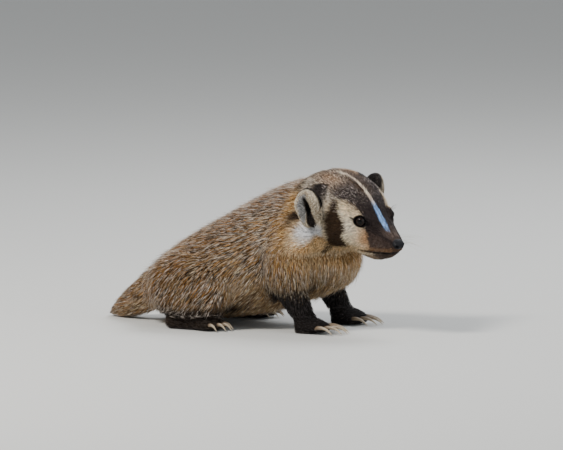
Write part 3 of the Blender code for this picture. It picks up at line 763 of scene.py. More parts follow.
# %% Regions
HEAD_MIDDLE = 0.009       # below the nose tip's level, the line that angles on the head turn about
NAPE_CUT, NAPE_TOP, CUT_SLANT = 0.137, 0.032, 0.52
FORELEG_OUT, HIND_OUT = 0.026, 0.040        # how far out the inner sides of the legs are
HIND_REAR, HIND_FRONT = -0.125, -0.020
HOLLOW_LIMIT = 1.10       # how far out of the ear, in ear sizes, its hollows still count
EAR_THROUGH = 0.022       # points further than this in front of or behind an ear are not near it


def rows_of(axes):
    """Three directions as the rows of an array."""
    return np.array([list(axis) for axis in axes])


def in_ear_axes(points, side):
    """The points in an ear's own axes, with its lean and its narrow lower end undone."""
    axes = rows_of(ear_directions(side))
    centre = np.array(ear_centre(side))
    local = (points - centre) @ axes.T
    height = local[:, 2] / EAR_SIZE.z
    rear = side * local[:, 1] - EAR_TIP_BACK[side] * np.clip(height, -1.2, 1.2)
    kept = np.where(rear > 0, 1 - EAR_NARROWING * np.clip(-height, 0, 1), 1)
    local[:, 1] = side * rear / kept
    return local, centre + local @ axes


def in_dish(upright, side):
    """Share of each point that lies in the shallow bowl, fading out at its rear wall."""
    offset = (upright - np.array(dish_place(side))) @ rows_of(ear_directions(side)).T
    reach = np.linalg.norm(offset / np.array(DISH_SIZE), axis=1)
    return smoothly(1.13, 1.02, reach) * smoothly(0.0030, 0.0, -side * offset[:, 1])


def in_slit(upright, side):
    """Share of each point that lies in the deep slit, which narrows towards its top."""
    middle, slit_axes = slit_place(side)
    offset = (upright - np.array(middle)) @ rows_of(slit_axes).T
    offset[:, 1] /= 1 - SLIT_NARROWING * np.clip(offset[:, 2] / SLIT_SIZE.z, -1, 1)
    return smoothly(1.25, 1.05, np.linalg.norm(offset / np.array(SLIT_SIZE), axis=1))


def ear_measures(points):
    """Shares on an ear, in its bowl and its slit, and place round the nearer ear."""
    measures = {name: np.zeros(len(points))
                for name in ("ear", "in_dish", "in_slit", "ear_round", "ear_out")}
    measures["ear_reach"] = np.full(len(points), 9.0)
    for side in (-1, 1):
        local, upright = in_ear_axes(points, side)
        reach = np.linalg.norm(local / np.array(EAR_SIZE), axis=1)
        hollow = reach < HOLLOW_LIMIT
        shares = {"ear": smoothly(1.12, 1.04, reach) * (local[:, 0] > -0.010),
                  "in_dish": in_dish(upright, side) * hollow,
                  "in_slit": in_slit(upright, side) * hollow}
        for name, share in shares.items():
            measures[name] = np.maximum(measures[name], share)
        flat = np.hypot(local[:, 1] / EAR_SIZE.y, local[:, 2] / EAR_SIZE.z)
        flat = flat + 9 * (np.abs(local[:, 0]) > EAR_THROUGH)
        nearer = flat < measures["ear_reach"]
        around = np.degrees(np.arctan2(-side * local[:, 1], local[:, 2]))
        for name, value in (("ear_reach", flat), ("ear_round", around), ("ear_out", local[:, 0])):
            measures[name] = np.where(nearer, value, measures[name])
    return measures


def regions(points):
    """Named measures of each point, in millimetres and degrees where they are on the head."""
    back, side, up = head_places(points)
    x, y, z = (points - np.array(SHIFT)).T
    behind = back - (NAPE_CUT - CUT_SLANT * (NAPE_TOP - up))
    foreleg = (np.abs(y) > FORELEG_OUT) * smoothly(0.092, 0.078, z) * smoothly(-0.004, 0.008, x)
    hind = (np.abs(y) > HIND_OUT) & (x < HIND_FRONT) & (x > HIND_REAR)
    return {"back": back * 1000, "side": side * 1000, "up": up * 1000, "x": x, "y": y, "z": z,
            "angle": np.degrees(np.arctan2(np.abs(side), up + HEAD_MIDDLE)), "behind": behind,
            "head": smoothly(0.012, -0.006, behind) * smoothly(-0.052, -0.045, up),
            "foreleg": foreleg, "forefoot": foreleg * smoothly(0.024, 0.017, z),
            "hind": hind, "hindfoot": hind * smoothly(0.021, 0.015, z),
            "tail": smoothly(-0.139, -0.148, x), **ear_measures(points)}


skin_points, skin_normals = points_of(skin.data), normals_of(skin.data)
skin_place = regions(skin_points)
print("share of the skin's points on the head:", round(float(skin_place["head"].mean()), 2))


# %% [markdown]
# ## The lie of the coat
# Hair on a badger runs back from the nose, over the brow and the nape, and down the flanks. On the
# haunch and chest it hangs, on the forelegs it runs to the toes, and round the eyes it parts.

# %% Lie
PART_LIES = (("foreleg", (0.05, 0, -1)), ("forefoot", (1, 0, -0.25)), ("hindfoot", (1, 0, -0.2)),
             ("tail", (-0.80, 0.20, -0.40)))


def unit(vectors):
    return vectors / np.maximum(np.linalg.norm(vectors, axis=1), 1e-9)[:, None]


def blend_to(vectors, share, wanted):
    return vectors + (np.asarray(wanted) - vectors) * np.asarray(share)[:, None]


def lie_of_trunk(place):
    """Back along the trunk, and more downward on the lower flank, the haunch and the chest."""
    x, y, z = place["x"], place["y"], place["z"]
    flank = np.minimum(1, np.abs(y) / 0.060)
    low = np.clip((0.13 - z) / 0.11, 0, 1)
    front = np.clip((x - 0.045) / 0.03, 0, 1)
    haunch = smoothly(-0.02, -0.05, x) * smoothly(0.075, 0.055, z) * (np.abs(y) > 0.03)
    down = 0.55 + 0.50 * flank * low + 1.2 * front + 0.6 * haunch
    return np.stack([-1.0 + 0.75 * front, 0.12 * y / 0.06, -down], axis=1)


def lie_of_head(place):
    """Back from the nose, apart from the middle line on the crown and downward on the cheek."""
    cheek = smoothly(35, 100, place["angle"])
    outward = np.where(place["side"] < 0, -1.0, 1.0) * 0.25
    spread = np.array(LEFT)[None, :] * outward[:, None]
    fall = np.array(UP) * (0.10 + 0.45 * cheek)[:, None]
    return -np.array(FORWARD) + spread * (1 - cheek)[:, None] - fall


def lie_of_coat(points, place):
    """The way the hair points, parted round the eyes and fringing the ears."""
    lie = blend_to(lie_of_trunk(place), place["head"], lie_of_head(place))
    for side in (-1, 1):
        offset = points - np.array(eye_centre(side))
        reach = np.linalg.norm(offset, axis=1)
        parting = 0.8 * hill(reach - 0.0065, 0.0045) * (reach < 0.02)
        lie = lie + unit(offset) * parting[:, None]
        out, _, high = (np.array(axis) for axis in ear_directions(side))
        rim = points - np.array(ear_centre(side))
        fringe = unit(rim - (rim @ out)[:, None] * out) + 0.55 * out + 0.25 * high
        lie = blend_to(lie, place["ear"] * (np.linalg.norm(rim, axis=1) < 0.03), fringe)
    for part, way in PART_LIES:
        lie = blend_to(lie, place[part], way)
    return unit(lie)


mean_lie = lie_of_coat(skin_points, skin_place).mean(axis=0)
print("mean way of the hair:", [round(float(value), 2) for value in mean_lie])


# %% [markdown]
# ## Length, height and fineness
# The hair is a few millimetres long on the muzzle and feet, about ten on the cheeks, and eighteen on
# the back. Its tips reach the outline of the solids.

# %% Hair sizes
# On the head, each size at some distances in millimetres back from the nose
HEAD_LENGTHS = ((0, 0.0030), (30, 0.0040), (60, 0.0052), (80, 0.0066), (100, 0.0095), (135, 0.0170))
HEAD_RISES = ((0, 0.0007), (40, 0.0011), (70, 0.0020), (95, 0.0034), (135, 0.0070))
HEAD_WIDTHS = ((0, 0.00034), (40, 0.00040), (80, 0.00046), (135, 0.00056))
BODY_LENGTH, BODY_RISE, BODY_WIDTH = 0.0175, 0.0078, 0.00054
PART_SIZES = (("forefoot", 0.0050, 0.0014, 0.00042), ("hindfoot", 0.0075, 0.0022, 0.00045),
              ("tail", 0.019, 0.0048, 0.00058), ("ear", 0.0048, 0.0013, 0.00036))


def column(rows, position, values):
    """One column of a table, read between its rows by their first column."""
    return np.interp(values, [row[0] for row in rows], [row[position] for row in rows])


def hair_sizes(place):
    """Length, height of the tip over the skin, and width."""
    chest = smoothly(0.045, 0.065, place["x"])
    belly = smoothly(0.030, 0.016, place["z"]) * (1 - place["foreleg"])
    upper_leg = place["foreleg"] * smoothly(0.044, 0.066, place["z"])
    sizes = (BODY_LENGTH + 0.002 * chest - 0.001 * smoothly(0.04, 0.0, place["behind"]),
             BODY_RISE - 0.0030 * belly, BODY_WIDTH)
    on_head = [column(rows, 1, place["back"]) for rows in (HEAD_LENGTHS, HEAD_RISES, HEAD_WIDTHS)]
    on_leg = (0.0085 + 0.011 * upper_leg, 0.0026 + 0.003 * upper_leg, 0.00055)
    for part, *wanted in (("head", *on_head), ("foreleg", *on_leg), *PART_SIZES):
        sizes = [size + (new - size) * place[part] for size, new in zip(sizes, wanted)]
    return sizes


hair_lengths = hair_sizes(skin_place)[0] * 1000
print("hair from", round(hair_lengths.min(), 1), "to", round(hair_lengths.max(), 1), "mm long")

# %% [markdown]
# ## Markings
# An American badger is known by its face: a white stripe from the nose over the crown, a dark mask
# on each side of it, a pale crescent round the eye, and a dark badge on each cheek. The body is
# grizzled, because each hair is tan at its root, dark in the middle and white at its tip. So every
# place gets three colours, from root to tip, and each marking is laid over those before it.

# %% Colours of the coat
# In the functions below, s is the way back along the head in millimetres, and angle the way round
# it from the crown in degrees. The numbers of each soft step are where an edge starts and ends.
UNDER_TAN = (0.37, 0.180, 0.058)
DARK_BAND = (0.022, 0.013, 0.009)
GREY_TIP = (0.58, 0.50, 0.43)
BUFF = (0.56, 0.38, 0.20)
OCHRE = (0.50, 0.25, 0.065)
PALE_BUFF = (0.70, 0.57, 0.38)
CREAM = (0.78, 0.66, 0.48)
WHITE = (0.86, 0.86, 0.89)
STRIPE_CREAM = (0.80, 0.66, 0.52)
# Painted skylight reflection that turns the lower stripe blue; the stripe's own colour is cream
STRIPE_SKYLIGHT_BLUE = (0.30, 0.50, 0.88)
MASK = (0.020, 0.013, 0.012)
MASK_TIP = (0.034, 0.024, 0.023)
BADGE = (0.026, 0.014, 0.007)
ORANGE = (0.42, 0.195, 0.070)
MUZZLE_GREY = (0.125, 0.088, 0.074)
LIP_TAN = (0.24, 0.12, 0.05)
BLACK = (0.010, 0.008, 0.008)
EAR_GREY = (0.26, 0.25, 0.24)
SOLE = (0.050, 0.040, 0.038)

# Along the head in millimetres from the nose tip: the angle where the dark mask ends
MASK_EDGE = ((28, 180), (32, 114), (36, 95), (39, 78), (44, 70), (50, 52), (55, 40), (64, 41),
             (73, 43), (80, 47), (90, 48), (100, 50), (112, 52), (130, 60))
# Round the head in degrees: the front and the rear of the cheek badge
BADGE_FRONT = ((53, 79.5), (57, 77.5), (60, 76.0), (64, 74.0), (73, 66.0), (80, 63.0), (88, 60.5),
               (98, 61.0), (104, 62.5), (112, 60.5), (124, 56.5), (140, 56.0))
BADGE_REAR = ((53, 84.0), (57, 84.5), (60, 84.5), (66, 83.5), (78, 84.0), (93, 83.0), (112, 80.0),
              (137, 82.0))
BADGE_TOP, BADGE_BOTTOM = 53, 127
BADGE_SLOPE = 0.55        # how many degrees lower its bottom edge is for each millimetre back
# Along the head: middle and half width of the white stripe
STRIPE = ((22, -2.8, 1.6), (28, -2.7, 2.9), (40, -1.1, 3.4), (50, -0.2, 3.0), (58, 0.7, 2.2),
          (72, 3.2, 1.6), (85, 4.8, 1.2), (97, 5.4, 1.1), (115, 4.2, 1.1), (140, 0.6, 1.4))
NECK_SLOPE, NECK_BACK = 0.66, 93      # the slanted lower edge of the white patch behind the cheek


def lay(colours, share, under, band=None, tip=None):
    """Mixes a marking's root, middle and tip colours, or its one colour, into those there."""
    three = np.array([under, band or under, tip or under])
    return colours + (three - colours) * share[:, None, None]


def ripple(points, scale, seed):
    """Soft noise between about -1 and 1 at each point."""
    offset = Vector((seed * 7.3, seed * 3.1, seed * 5.7))
    return np.array([noise.noise(Vector(point) * scale + offset) for point in points.tolist()]) * 1.6


def over_mouth(place):
    """Height over the line of the lips, in millimetres."""
    return above_mouth(place["back"] / 1000, place["up"] / 1000) * 1000


def trunk_markings(points, place, outwards):
    """The grizzled coat: greyer on the back, warmer on the flank, rusty towards the rump."""
    x, z, upward = place["x"], place["z"], outwards[:, 2]
    colours = np.tile(np.array([UNDER_TAN, DARK_BAND, GREY_TIP]), (len(points), 1, 1))
    warm = smoothly(0.85, 0.30, upward) * (0.75 + 0.35 * ripple(points, 28, 1))
    colours = lay(colours, 0.75 * warm, (0.44, 0.24, 0.085), DARK_BAND, PALE_BUFF)
    rear = smoothly(-0.03, -0.09, x)
    colours = lay(colours, 0.80 * rear, (0.33, 0.145, 0.034), DARK_BAND, (0.50, 0.34, 0.17))
    ridge = smoothly(0.72, 0.95, upward)
    colours = lay(colours, 0.45 * ridge, (0.26, 0.14, 0.065), DARK_BAND, (0.50, 0.44, 0.40))
    pale_flank = smoothly(-0.05, 0.02, x) * smoothly(0.10, 0.06, z)
    return lay(colours, 0.5 * pale_flank, (0.46, 0.29, 0.13), (0.09, 0.05, 0.03), (0.72, 0.60, 0.44))


def neck_markings(place, colours, outwards):
    """Nape, the ruff behind the cheek, chest and throat, and the buff below."""
    x, z, upward, behind = place["x"], place["z"], outwards[:, 2], place["behind"]
    nape = smoothly(0.03, 0.0, behind) * (z > 0.10)
    colours = lay(colours, 0.85 * nape, (0.31, 0.155, 0.052), DARK_BAND, (0.38, 0.30, 0.20))
    ruff = smoothly(0.026, 0.006, behind) * smoothly(66, 84, place["angle"])
    ruff *= smoothly(0.080, 0.092, z) * smoothly(0.75, 0.35, upward)
    colours = lay(colours, 0.9 * ruff, (0.62, 0.31, 0.07), (0.54, 0.27, 0.08), (0.88, 0.62, 0.29))
    chest = smoothly(0.040, 0.062, x) * smoothly(0.120, 0.105, z)
    colours = lay(colours, 0.85 * chest, BUFF, (0.30, 0.19, 0.10), (0.70, 0.60, 0.44))
    throat = smoothly(0.0, 0.025, x) * smoothly(0.050, 0.074, z) * smoothly(0.125, 0.112, z)
    colours = lay(colours, 0.75 * throat, (0.50, 0.25, 0.065), (0.24, 0.125, 0.045),
                  (0.68, 0.47, 0.23))
    below = smoothly(0.05, -0.35, upward) * smoothly(0.09, 0.04, z)
    return lay(colours, 0.8 * below, BUFF, (0.28, 0.18, 0.10), PALE_BUFF)


def limb_markings(place, colours, fuzz):
    """Tail, black legs and bare soles."""
    z = place["z"]
    colours = lay(colours, 0.5 * place["tail"], UNDER_TAN, (0.08, 0.045, 0.025), PALE_BUFF)
    leg_black = place["foreleg"] * smoothly(0.051, 0.036, z + 0.005 * fuzz[0])
    colours = lay(colours, leg_black, (0.022, 0.016, 0.014), BLACK, (0.045, 0.038, 0.037))
    hind_dark = place["hind"] * smoothly(0.027, 0.017, z)
    colours = lay(colours, hind_dark, (0.045, 0.030, 0.020), (0.018, 0.013, 0.011),
                  (0.055, 0.041, 0.032))
    sole = smoothly(0.0026, 0.0012, z) * np.maximum(place["forefoot"], place["hindfoot"])
    return lay(colours, sole, SOLE)


def crown_markings(place, colours, s, angle):
    """The grizzled brown crown with a russet patch, and the cream ground of the cheek."""
    head = place["head"]
    crown = head * smoothly(66, 50, angle) * smoothly(55, 70, s)
    colours = lay(colours, crown, (0.42, 0.225, 0.092), (0.040, 0.026, 0.020), (0.75, 0.61, 0.49))
    russet = head * hill(s - 112, 15) * hill(angle - 26, 15)
    colours = lay(colours, 0.55 * russet, (0.44, 0.22, 0.08), (0.16, 0.08, 0.035), (0.50, 0.30, 0.15))
    cheek = head * smoothly(30, 40, s)
    return lay(colours, cheek * smoothly(44, 52, angle), CREAM)


def cheek_markings(place, colours, s, angle):
    """The lower cheek: buff before the badge, grizzled behind it, ochre towards the throat."""
    head = place["head"]
    cheek = head * smoothly(30, 40, s)
    low = cheek * smoothly(58, 74, s) * smoothly(44, 50, angle)
    colours = lay(colours, 0.8 * low * smoothly(88, 70, s), BUFF, PALE_BUFF, (0.82, 0.74, 0.62))
    behind_badge = low * smoothly(83, 88, s)
    colours = lay(colours, behind_badge, (0.52, 0.38, 0.25), (0.58, 0.45, 0.32), (0.82, 0.72, 0.58))
    grizzle = smoothly(76, 60, angle) * smoothly(88, 96, s)
    grizzle = low * np.maximum(grizzle, smoothly(64, 54, angle) * smoothly(76, 84, s))
    colours = lay(colours, 0.8 * grizzle, (0.20, 0.13, 0.08), DARK_BAND, (0.62, 0.55, 0.48))
    jaw = cheek * smoothly(116, 128, angle)
    colours = lay(colours, 0.9 * jaw, OCHRE, (0.46, 0.29, 0.13), (0.66, 0.50, 0.30))
    ochre = head * smoothly(80, 92, s) * smoothly(112, 121, angle)
    ochre = np.maximum(ochre, head * smoothly(101, 110, s) * smoothly(84, 94, angle))
    lower = angle + NECK_SLOPE * (s - NECK_BACK)
    ochre = np.maximum(ochre, head * smoothly(88, 96, s) * smoothly(116, 122, lower))
    return lay(colours, ochre, OCHRE, (0.50, 0.26, 0.08), (0.78, 0.53, 0.26))


def mask_markings(place, colours, s, angle):
    """The pale crescent behind the eye, the orange before it, the cheek badge and the mask."""
    head = place["head"]
    crescent = head * hill(angle - 50, 9) * smoothly(50, 54, s) * smoothly(84, 74, s)
    colours = lay(colours, 0.7 * crescent, (0.66, 0.47, 0.27), (0.70, 0.53, 0.33),
                  (0.76, 0.62, 0.42))
    near_eye = head * hill(s - 58, 9) * hill(angle - 82, 17)
    colours = lay(colours, 0.8 * near_eye, (0.78, 0.68, 0.55), (0.78, 0.69, 0.57),
                  (0.82, 0.74, 0.62))
    warm = head * hill(s - 39, 8.5) * smoothly(60, 76, angle) * smoothly(128, 104, angle)
    colours = lay(colours, 0.85 * warm, ORANGE, ORANGE, (0.54, 0.31, 0.15))
    front, rear = column(BADGE_FRONT, 1, angle), column(BADGE_REAR, 1, angle)
    badge = smoothly(-1.6, 1.2, s - front) * smoothly(2.4, -1.6, s - rear)
    badge *= head * smoothly(BADGE_TOP - 2, BADGE_TOP + 2, angle)
    bottom = BADGE_BOTTOM + BADGE_SLOPE * (s - BADGE_FRONT[-1][1])
    badge *= smoothly(bottom + 3, bottom - 3, angle)
    colours = lay(colours, badge, (0.040, 0.021, 0.010), BADGE, (0.050, 0.028, 0.014))
    below_edge = (angle - column(MASK_EDGE, 1, s)) / (2.5 + 5.5 * smoothly(50, 40, s))
    far = 10 * (place["side"] > 3)
    mask = head * smoothly(1, -1, below_edge) * smoothly(104, 84, s - far)
    return lay(colours, mask, MASK, MASK, MASK_TIP)


def muzzle_markings(place, colours, s, angle, fuzz):
    """The greyer bridge and muzzle, the lips, the fur of the lower jaw and painted shade under the jaw.
    """
    head, over = place["head"], over_mouth(place)
    bridge = head * smoothly(34, 20, s) * smoothly(62, 34, angle)
    colours = lay(colours, 0.70 * bridge, MUZZLE_GREY, MUZZLE_GREY, (0.20, 0.145, 0.12))
    muzzle = head * smoothly(42, 28, s) * smoothly(58, 74, angle)
    colours = lay(colours, 0.35 * muzzle, MUZZLE_GREY, MUZZLE_GREY, (0.17, 0.11, 0.085))
    lips = head * smoothly(44, 34, s) * smoothly(7.0, 2.0, over + fuzz[1]) * smoothly(-0.4, 0.4, over)
    lips *= smoothly(3, 12, s) * (0.45 + 0.35 * (fuzz[0] > 0.3))
    colours = lay(colours, lips, LIP_TAN, LIP_TAN, (0.30, 0.17, 0.08))
    jaw_fur = head * smoothly(24, 32, s) * smoothly(54, 46, s) * hill(over + 4.0, 2.4)
    colours = lay(colours, 0.8 * jaw_fur, (0.50, 0.38, 0.25), (0.52, 0.42, 0.30), (0.72, 0.63, 0.50))
    # Painted shade: the fur under the lower jaw is darkened where the jaw's shadow falls
    jaw_underside_shade = head * smoothly(56, 44, s) * smoothly(-5.5, -8.0, over)
    colours = lay(colours, 0.75 * jaw_underside_shade, (0.14, 0.085, 0.045), (0.11, 0.070, 0.042),
                  (0.22, 0.145, 0.09))
    chin = head * smoothly(34, 24, s) * smoothly(0.5, -0.8, over)
    colours = lay(colours, 0.9 * chin, (0.050, 0.032, 0.022), (0.038, 0.026, 0.020),
                  (0.10, 0.066, 0.046))
    lower_lip = head * smoothly(41, 34, s) * hill(over + 1.3, 1.1)
    colours = lay(colours, 0.9 * lower_lip, BLACK, BLACK, (0.03, 0.022, 0.018))
    seam = head * smoothly(47, 43, s) * hill(over, 0.8)
    return lay(colours, 0.9 * seam, BLACK)


def stripe_markings(place, colours, s, fuzz):
    """The white stripe between two darker bands of crown, with painted skylight reflection at its lower
    end.
    """
    middle, half = column(STRIPE, 1, s), column(STRIPE, 2, s)
    across = np.abs(place["side"] + 0.45 * fuzz[1] - middle)
    beside = place["head"] * smoothly(15, 7, across) * smoothly(62, 80, s)
    beside = beside * smoothly(132, 112, s) * (place["up"] > 0)
    colours = lay(colours, 0.75 * beside, (0.17, 0.095, 0.050), DARK_BAND, (0.19, 0.14, 0.115))
    stripe = smoothly(half + 0.5, half - 0.5, across) * smoothly(60, 40, place["angle"])
    ends = smoothly(24, 32, s + 2.2 * fuzz[1]) * smoothly(0.020, 0.004, place["behind"])
    stripe *= ends * (place["up"] > -4)
    # Painted skylight reflection: towards its lower end the stripe turns from its own cream to blue
    skylight_share = smoothly(64, 52, s)[:, None]
    shade = np.array(STRIPE_CREAM) + (np.array(STRIPE_SKYLIGHT_BLUE) - np.array(STRIPE_CREAM)) * skylight_share
    return colours + (shade[:, None, :] - colours) * stripe[:, None, None]


def eye_markings(points, colours):
    """The black rim of each eye and its two corners."""
    for side in (-1, 1):
        outward, along, high = eye_frame(side, points)
        beside = np.abs(outward) < EYE_LIMIT
        near = beside * smoothly(0.0074, 0.0062, lid_ring(along, high))
        rear = -side * along
        corner = hill(high - 0.0002, 0.0017) * smoothly(0.0135, 0.0105, rear) * (rear > 0)
        corner += hill(high + 0.0006, 0.0014) * smoothly(0.0105, 0.0080, -rear) * (rear < 0)
        colours = lay(colours, np.maximum(near, corner * beside), BLACK)
    return colours


def ear_markings(place, colours):
    """The white patch and the dark ones round the ear, then its back, crest, rim and hollows."""
    s, angle, ear, out = place["back"], place["angle"], place["ear"], place["ear_out"]
    lower = angle + NECK_SLOPE * (s - NECK_BACK)
    white = smoothly(119, 112, lower) * smoothly(91, 98, angle)
    white = white * smoothly(83, 89, s) * smoothly(112, 104, s)
    colours = lay(colours, white, WHITE)
    around = place["ear_round"]
    top = smoothly(1.45, 1.25, place["ear_reach"]) * hill(around - 20, 32)
    colours = lay(colours, np.minimum(1, 1.5 * top), (0.04, 0.025, 0.02), (0.015, 0.011, 0.010),
                  (0.05, 0.04, 0.038))
    smudge = np.minimum(1, 1.8 * hill(s - 115, 6.0) * hill(angle - 97, 5.0))
    colours = lay(colours, smudge, (0.08, 0.045, 0.024), (0.026, 0.016, 0.011), (0.06, 0.038, 0.025))
    ear_back = ear * smoothly(0.002, -0.002, out)
    colours = lay(colours, ear_back, (0.25, 0.17, 0.10), (0.16, 0.11, 0.08), (0.50, 0.42, 0.34))
    crest = ear * smoothly(0.003, -0.001, out) * smoothly(95, 60, np.abs(around))
    colours = lay(colours, crest, (0.030, 0.022, 0.020), BLACK, (0.05, 0.04, 0.04))
    rim = ear * smoothly(0.001, 0.004, out - 0.003 * (place["side"] > 0))
    colours = lay(colours, rim, (0.36, 0.27, 0.18), (0.52, 0.42, 0.30), (0.82, 0.74, 0.60))
    colours = lay(colours, place["in_dish"], EAR_GREY, (0.36, 0.35, 0.34), (0.58, 0.56, 0.54))
    return lay(colours, place["in_slit"], (0.022, 0.014, 0.012), BLACK, (0.045, 0.03, 0.026))


def markings(points, outwards, place, draw):
    """Root, middle and tip colour of the coat at each point, with edges a little ragged."""
    fuzz = (draw.normal(size=len(points)), draw.normal(size=len(points)))
    s = place["back"] + 1.3 * fuzz[0]
    angle = place["angle"] + 2.2 * fuzz[1]
    colours = trunk_markings(points, place, outwards)
    colours = neck_markings(place, colours, outwards)
    colours = limb_markings(place, colours, fuzz)
    for add in (crown_markings, cheek_markings, mask_markings):
        colours = add(place, colours, s, angle)
    colours = muzzle_markings(place, colours, s, angle, fuzz)
    colours = stripe_markings(place, colours, s, fuzz)
    return np.clip(ear_markings(place, eye_markings(points, colours)), 0, 1)


skin_colours = markings(skin_points, skin_normals, skin_place, np.random.default_rng(11))
print("mean colour of the tips:", [round(float(value), 2) for value in skin_colours[:, 2].mean(axis=0)])


# %% [markdown]
# ## The skin's finish
# Between the hairs the skin shows as a darker underfur. It takes the markings of the coat from an
# attribute, broken up by fine noise, and a bump from the same noise gives it the nap of short hair.

# %% Skin colour and nap
UNDERFUR_SHADE = 0.55               # how much darker the skin is than the hair over it
UNDERFUR_MIX = (0.6, 0.4)           # of the root and middle colours of the hair
PLAIN_BROWN = (0.4, 0.35, 0.3)      # under a colour that comes from an attribute
NOISE_RANGE = (0.3, 0.7)            # where most values of a noise lie


def set_colour(mesh, name, colours):
    layer = mesh.color_attributes.new(name=name, type="FLOAT_COLOR", domain="POINT")
    rgba = np.concatenate([colours, np.ones((len(colours), 1))], axis=1)
    layer.data.foreach_set("color", rgba.astype(np.float32).ravel())


def set_value(mesh, name, values):
    layer = mesh.attributes.new(name=name, type="FLOAT", domain="POINT")
    layer.data.foreach_set("value", values.astype(np.float32).ravel())


def node(material, kind, **values):
    made = material.node_tree.nodes.new(kind)
    for key, value in values.items():
        setattr(made, key, value)
    return made


def link(material, start, start_socket, end, end_socket):
    """Joins two sockets, each given by its name, its number or its inner name."""
    def found(sockets, wanted):
        inner = [socket for socket in sockets if socket.identifier == wanted]
        return inner[0] if inner else sockets[wanted]

    material.node_tree.links.new(found(start.outputs, start_socket), found(end.inputs, end_socket))


def textured(material, kind, settings):
    """A texture that reads the object's own coordinates."""
    texture = node(material, kind)
    dial(texture, settings)
    link(material, node(material, "ShaderNodeTexCoord"), "Object", texture, "Vector")
    return texture


def shaded(material, texture, socket, from_values, to_values):
    """Makes the colour given to this node darker and lighter by a texture, for the shader."""
    share = node(material, "ShaderNodeMapRange")
    dial(share, {"From Min": from_values[0], "From Max": from_values[1],
                 "To Min": to_values[0], "To Max": to_values[1]})
    link(material, texture, socket, share, "Value")
    shade = node(material, "ShaderNodeVectorMath", operation="SCALE")
    link(material, share, "Result", shade, "Scale")
    link(material, shade, "Vector", shader_of(material), "Base Color")
    return shade


def raised(material, texture, socket, strength, distance, invert=False):
    """Gives the shader a fine relief from a texture."""
    bump = node(material, "ShaderNodeBump", invert=invert)
    dial(bump, {"Strength": strength, "Distance": distance})
    link(material, texture, socket, bump, "Height")
    link(material, bump, "Normal", shader_of(material), "Normal")


def underfur_material():
    """A finish whose colour is the coat's own attribute, mottled by fine noise."""
    material = plain_material("badger_underfur", PLAIN_BROWN, 0.85)
    dial(shader_of(material), {"Specular IOR Level": 0.12})
    speckle = textured(material, "ShaderNodeTexNoise", {"Scale": 900, "Detail": 3})
    tone = node(material, "ShaderNodeAttribute", attribute_name="coat_colour")
    shade = shaded(material, speckle, "Fac", NOISE_RANGE, (0.72, 1.25))
    link(material, tone, "Color", shade, 0)
    raised(material, speckle, "Fac", 0.7, 0.0008)
    return material


under_share, band_share = UNDERFUR_MIX
underfur = under_share * skin_colours[:, 0] + band_share * skin_colours[:, 1]
set_colour(skin.data, "coat_colour", underfur * UNDERFUR_SHADE)
skin.data.materials.clear()
skin.data.materials.append(underfur_material())
FLESH = [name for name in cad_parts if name.split("_")[0] not in ("eye", "nose")]
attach(skin, "root")
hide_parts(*FLESH)
print("the skin stands for", len(FLESH), "nodes")

# %% [markdown]
# ## Growing hair
# Real fur has far too many hairs to model, so each tuft here is a thin, closed, tapering blade. Roots
# are scattered over the skin by area. From its root a tuft steps along the lie of the coat, stays
# close to the skin, and leans towards the middle of its lock, as damp or grizzled fur does. All the
# tufts of one stretch are built as one mesh with numpy, which is much quicker than copying objects.

# %% Scattering and growing
READER = BVHTree.FromObject(skin, bpy.context.evaluated_depsgraph_get())
ROOT_DEPTH = 0.0008                 # how deep a root sits in the skin
RISE_POWER, SINK_POWER = 0.8, 3     # how soon a tuft rises, and how soon it has left the skin
skin_corners = np.empty(len(skin.data.polygons) * 3, dtype=np.int32)
skin.data.polygons.foreach_get("vertices", skin_corners)
skin_corners = skin_corners.reshape(-1, 3)
skin_map = read(skin.data.uv_layers[BAKE_MAP].data, "uv", 2).reshape(-1, 3, 2)
skin_faces = skin_points[skin_corners]
skin_cross = np.cross(skin_faces[:, 1] - skin_faces[:, 0], skin_faces[:, 2] - skin_faces[:, 0])
skin_areas = np.linalg.norm(skin_cross, axis=1) / 2
skin_facing = unit(skin_cross)


def scatter(weights, count, draw):
    """Roots on the skin with their normals and places on the unwrap."""
    share = np.cumsum(weights * skin_areas)
    picks = (np.arange(count) + draw.random(count)) / count * share[-1]
    faces = np.searchsorted(share, picks)
    one, two = draw.random(count), draw.random(count)
    flip = one + two > 1
    one, two = np.where(flip, 1 - one, one), np.where(flip, 1 - two, two)
    corners = np.stack([1 - one - two, one, two], axis=1)[:, :, None]
    triangles = skin_corners[faces]
    roots = (skin_points[triangles] * corners).sum(axis=1)
    normals = unit((skin_normals[triangles] * corners).sum(axis=1))
    patches = (skin_map[faces] * corners).sum(axis=1)
    return roots, normals, patches


def nearest_skin(points):
    """The closest skin point and its facing, for each point."""
    found = [READER.find_nearest(point)[:2] for point in points.tolist()]
    return np.array([hit[0] for hit in found]), np.array([hit[1] for hit in found])


def grow(roots, normals, length, rise, sway, stations):
    """Centre lines of tufts: at each station, the point, its normal and its way."""
    surface, facing = roots.copy(), normals.copy()
    lines, ups, ways = [], [], []
    for number, t in enumerate(stations):
        if number:
            surface, facing = nearest_skin(surface)
        way = lie_of_coat(surface, regions(surface))
        way = unit(way - facing * (way * facing).sum(axis=1)[:, None])
        way = unit(way + np.cross(facing, way) * (sway * (0.4 + 0.6 * t))[:, None])
        height = rise * t ** RISE_POWER - ROOT_DEPTH * (1 - t) ** SINK_POWER
        lines.append(surface + facing * height[:, None])
        ups.append(facing)
        ways.append(way)
        if number + 1 < len(stations):
            surface = surface + way * (length * (stations[number + 1] - t))[:, None]
    return np.stack(lines, axis=1), np.stack(ups, axis=1), np.stack(ways, axis=1)


LEAN_POWER = 1.4          # a lock closes late, towards its tips
LOCK_BREADTH = 0.30       # how much of its own place a tuft keeps inside its lock


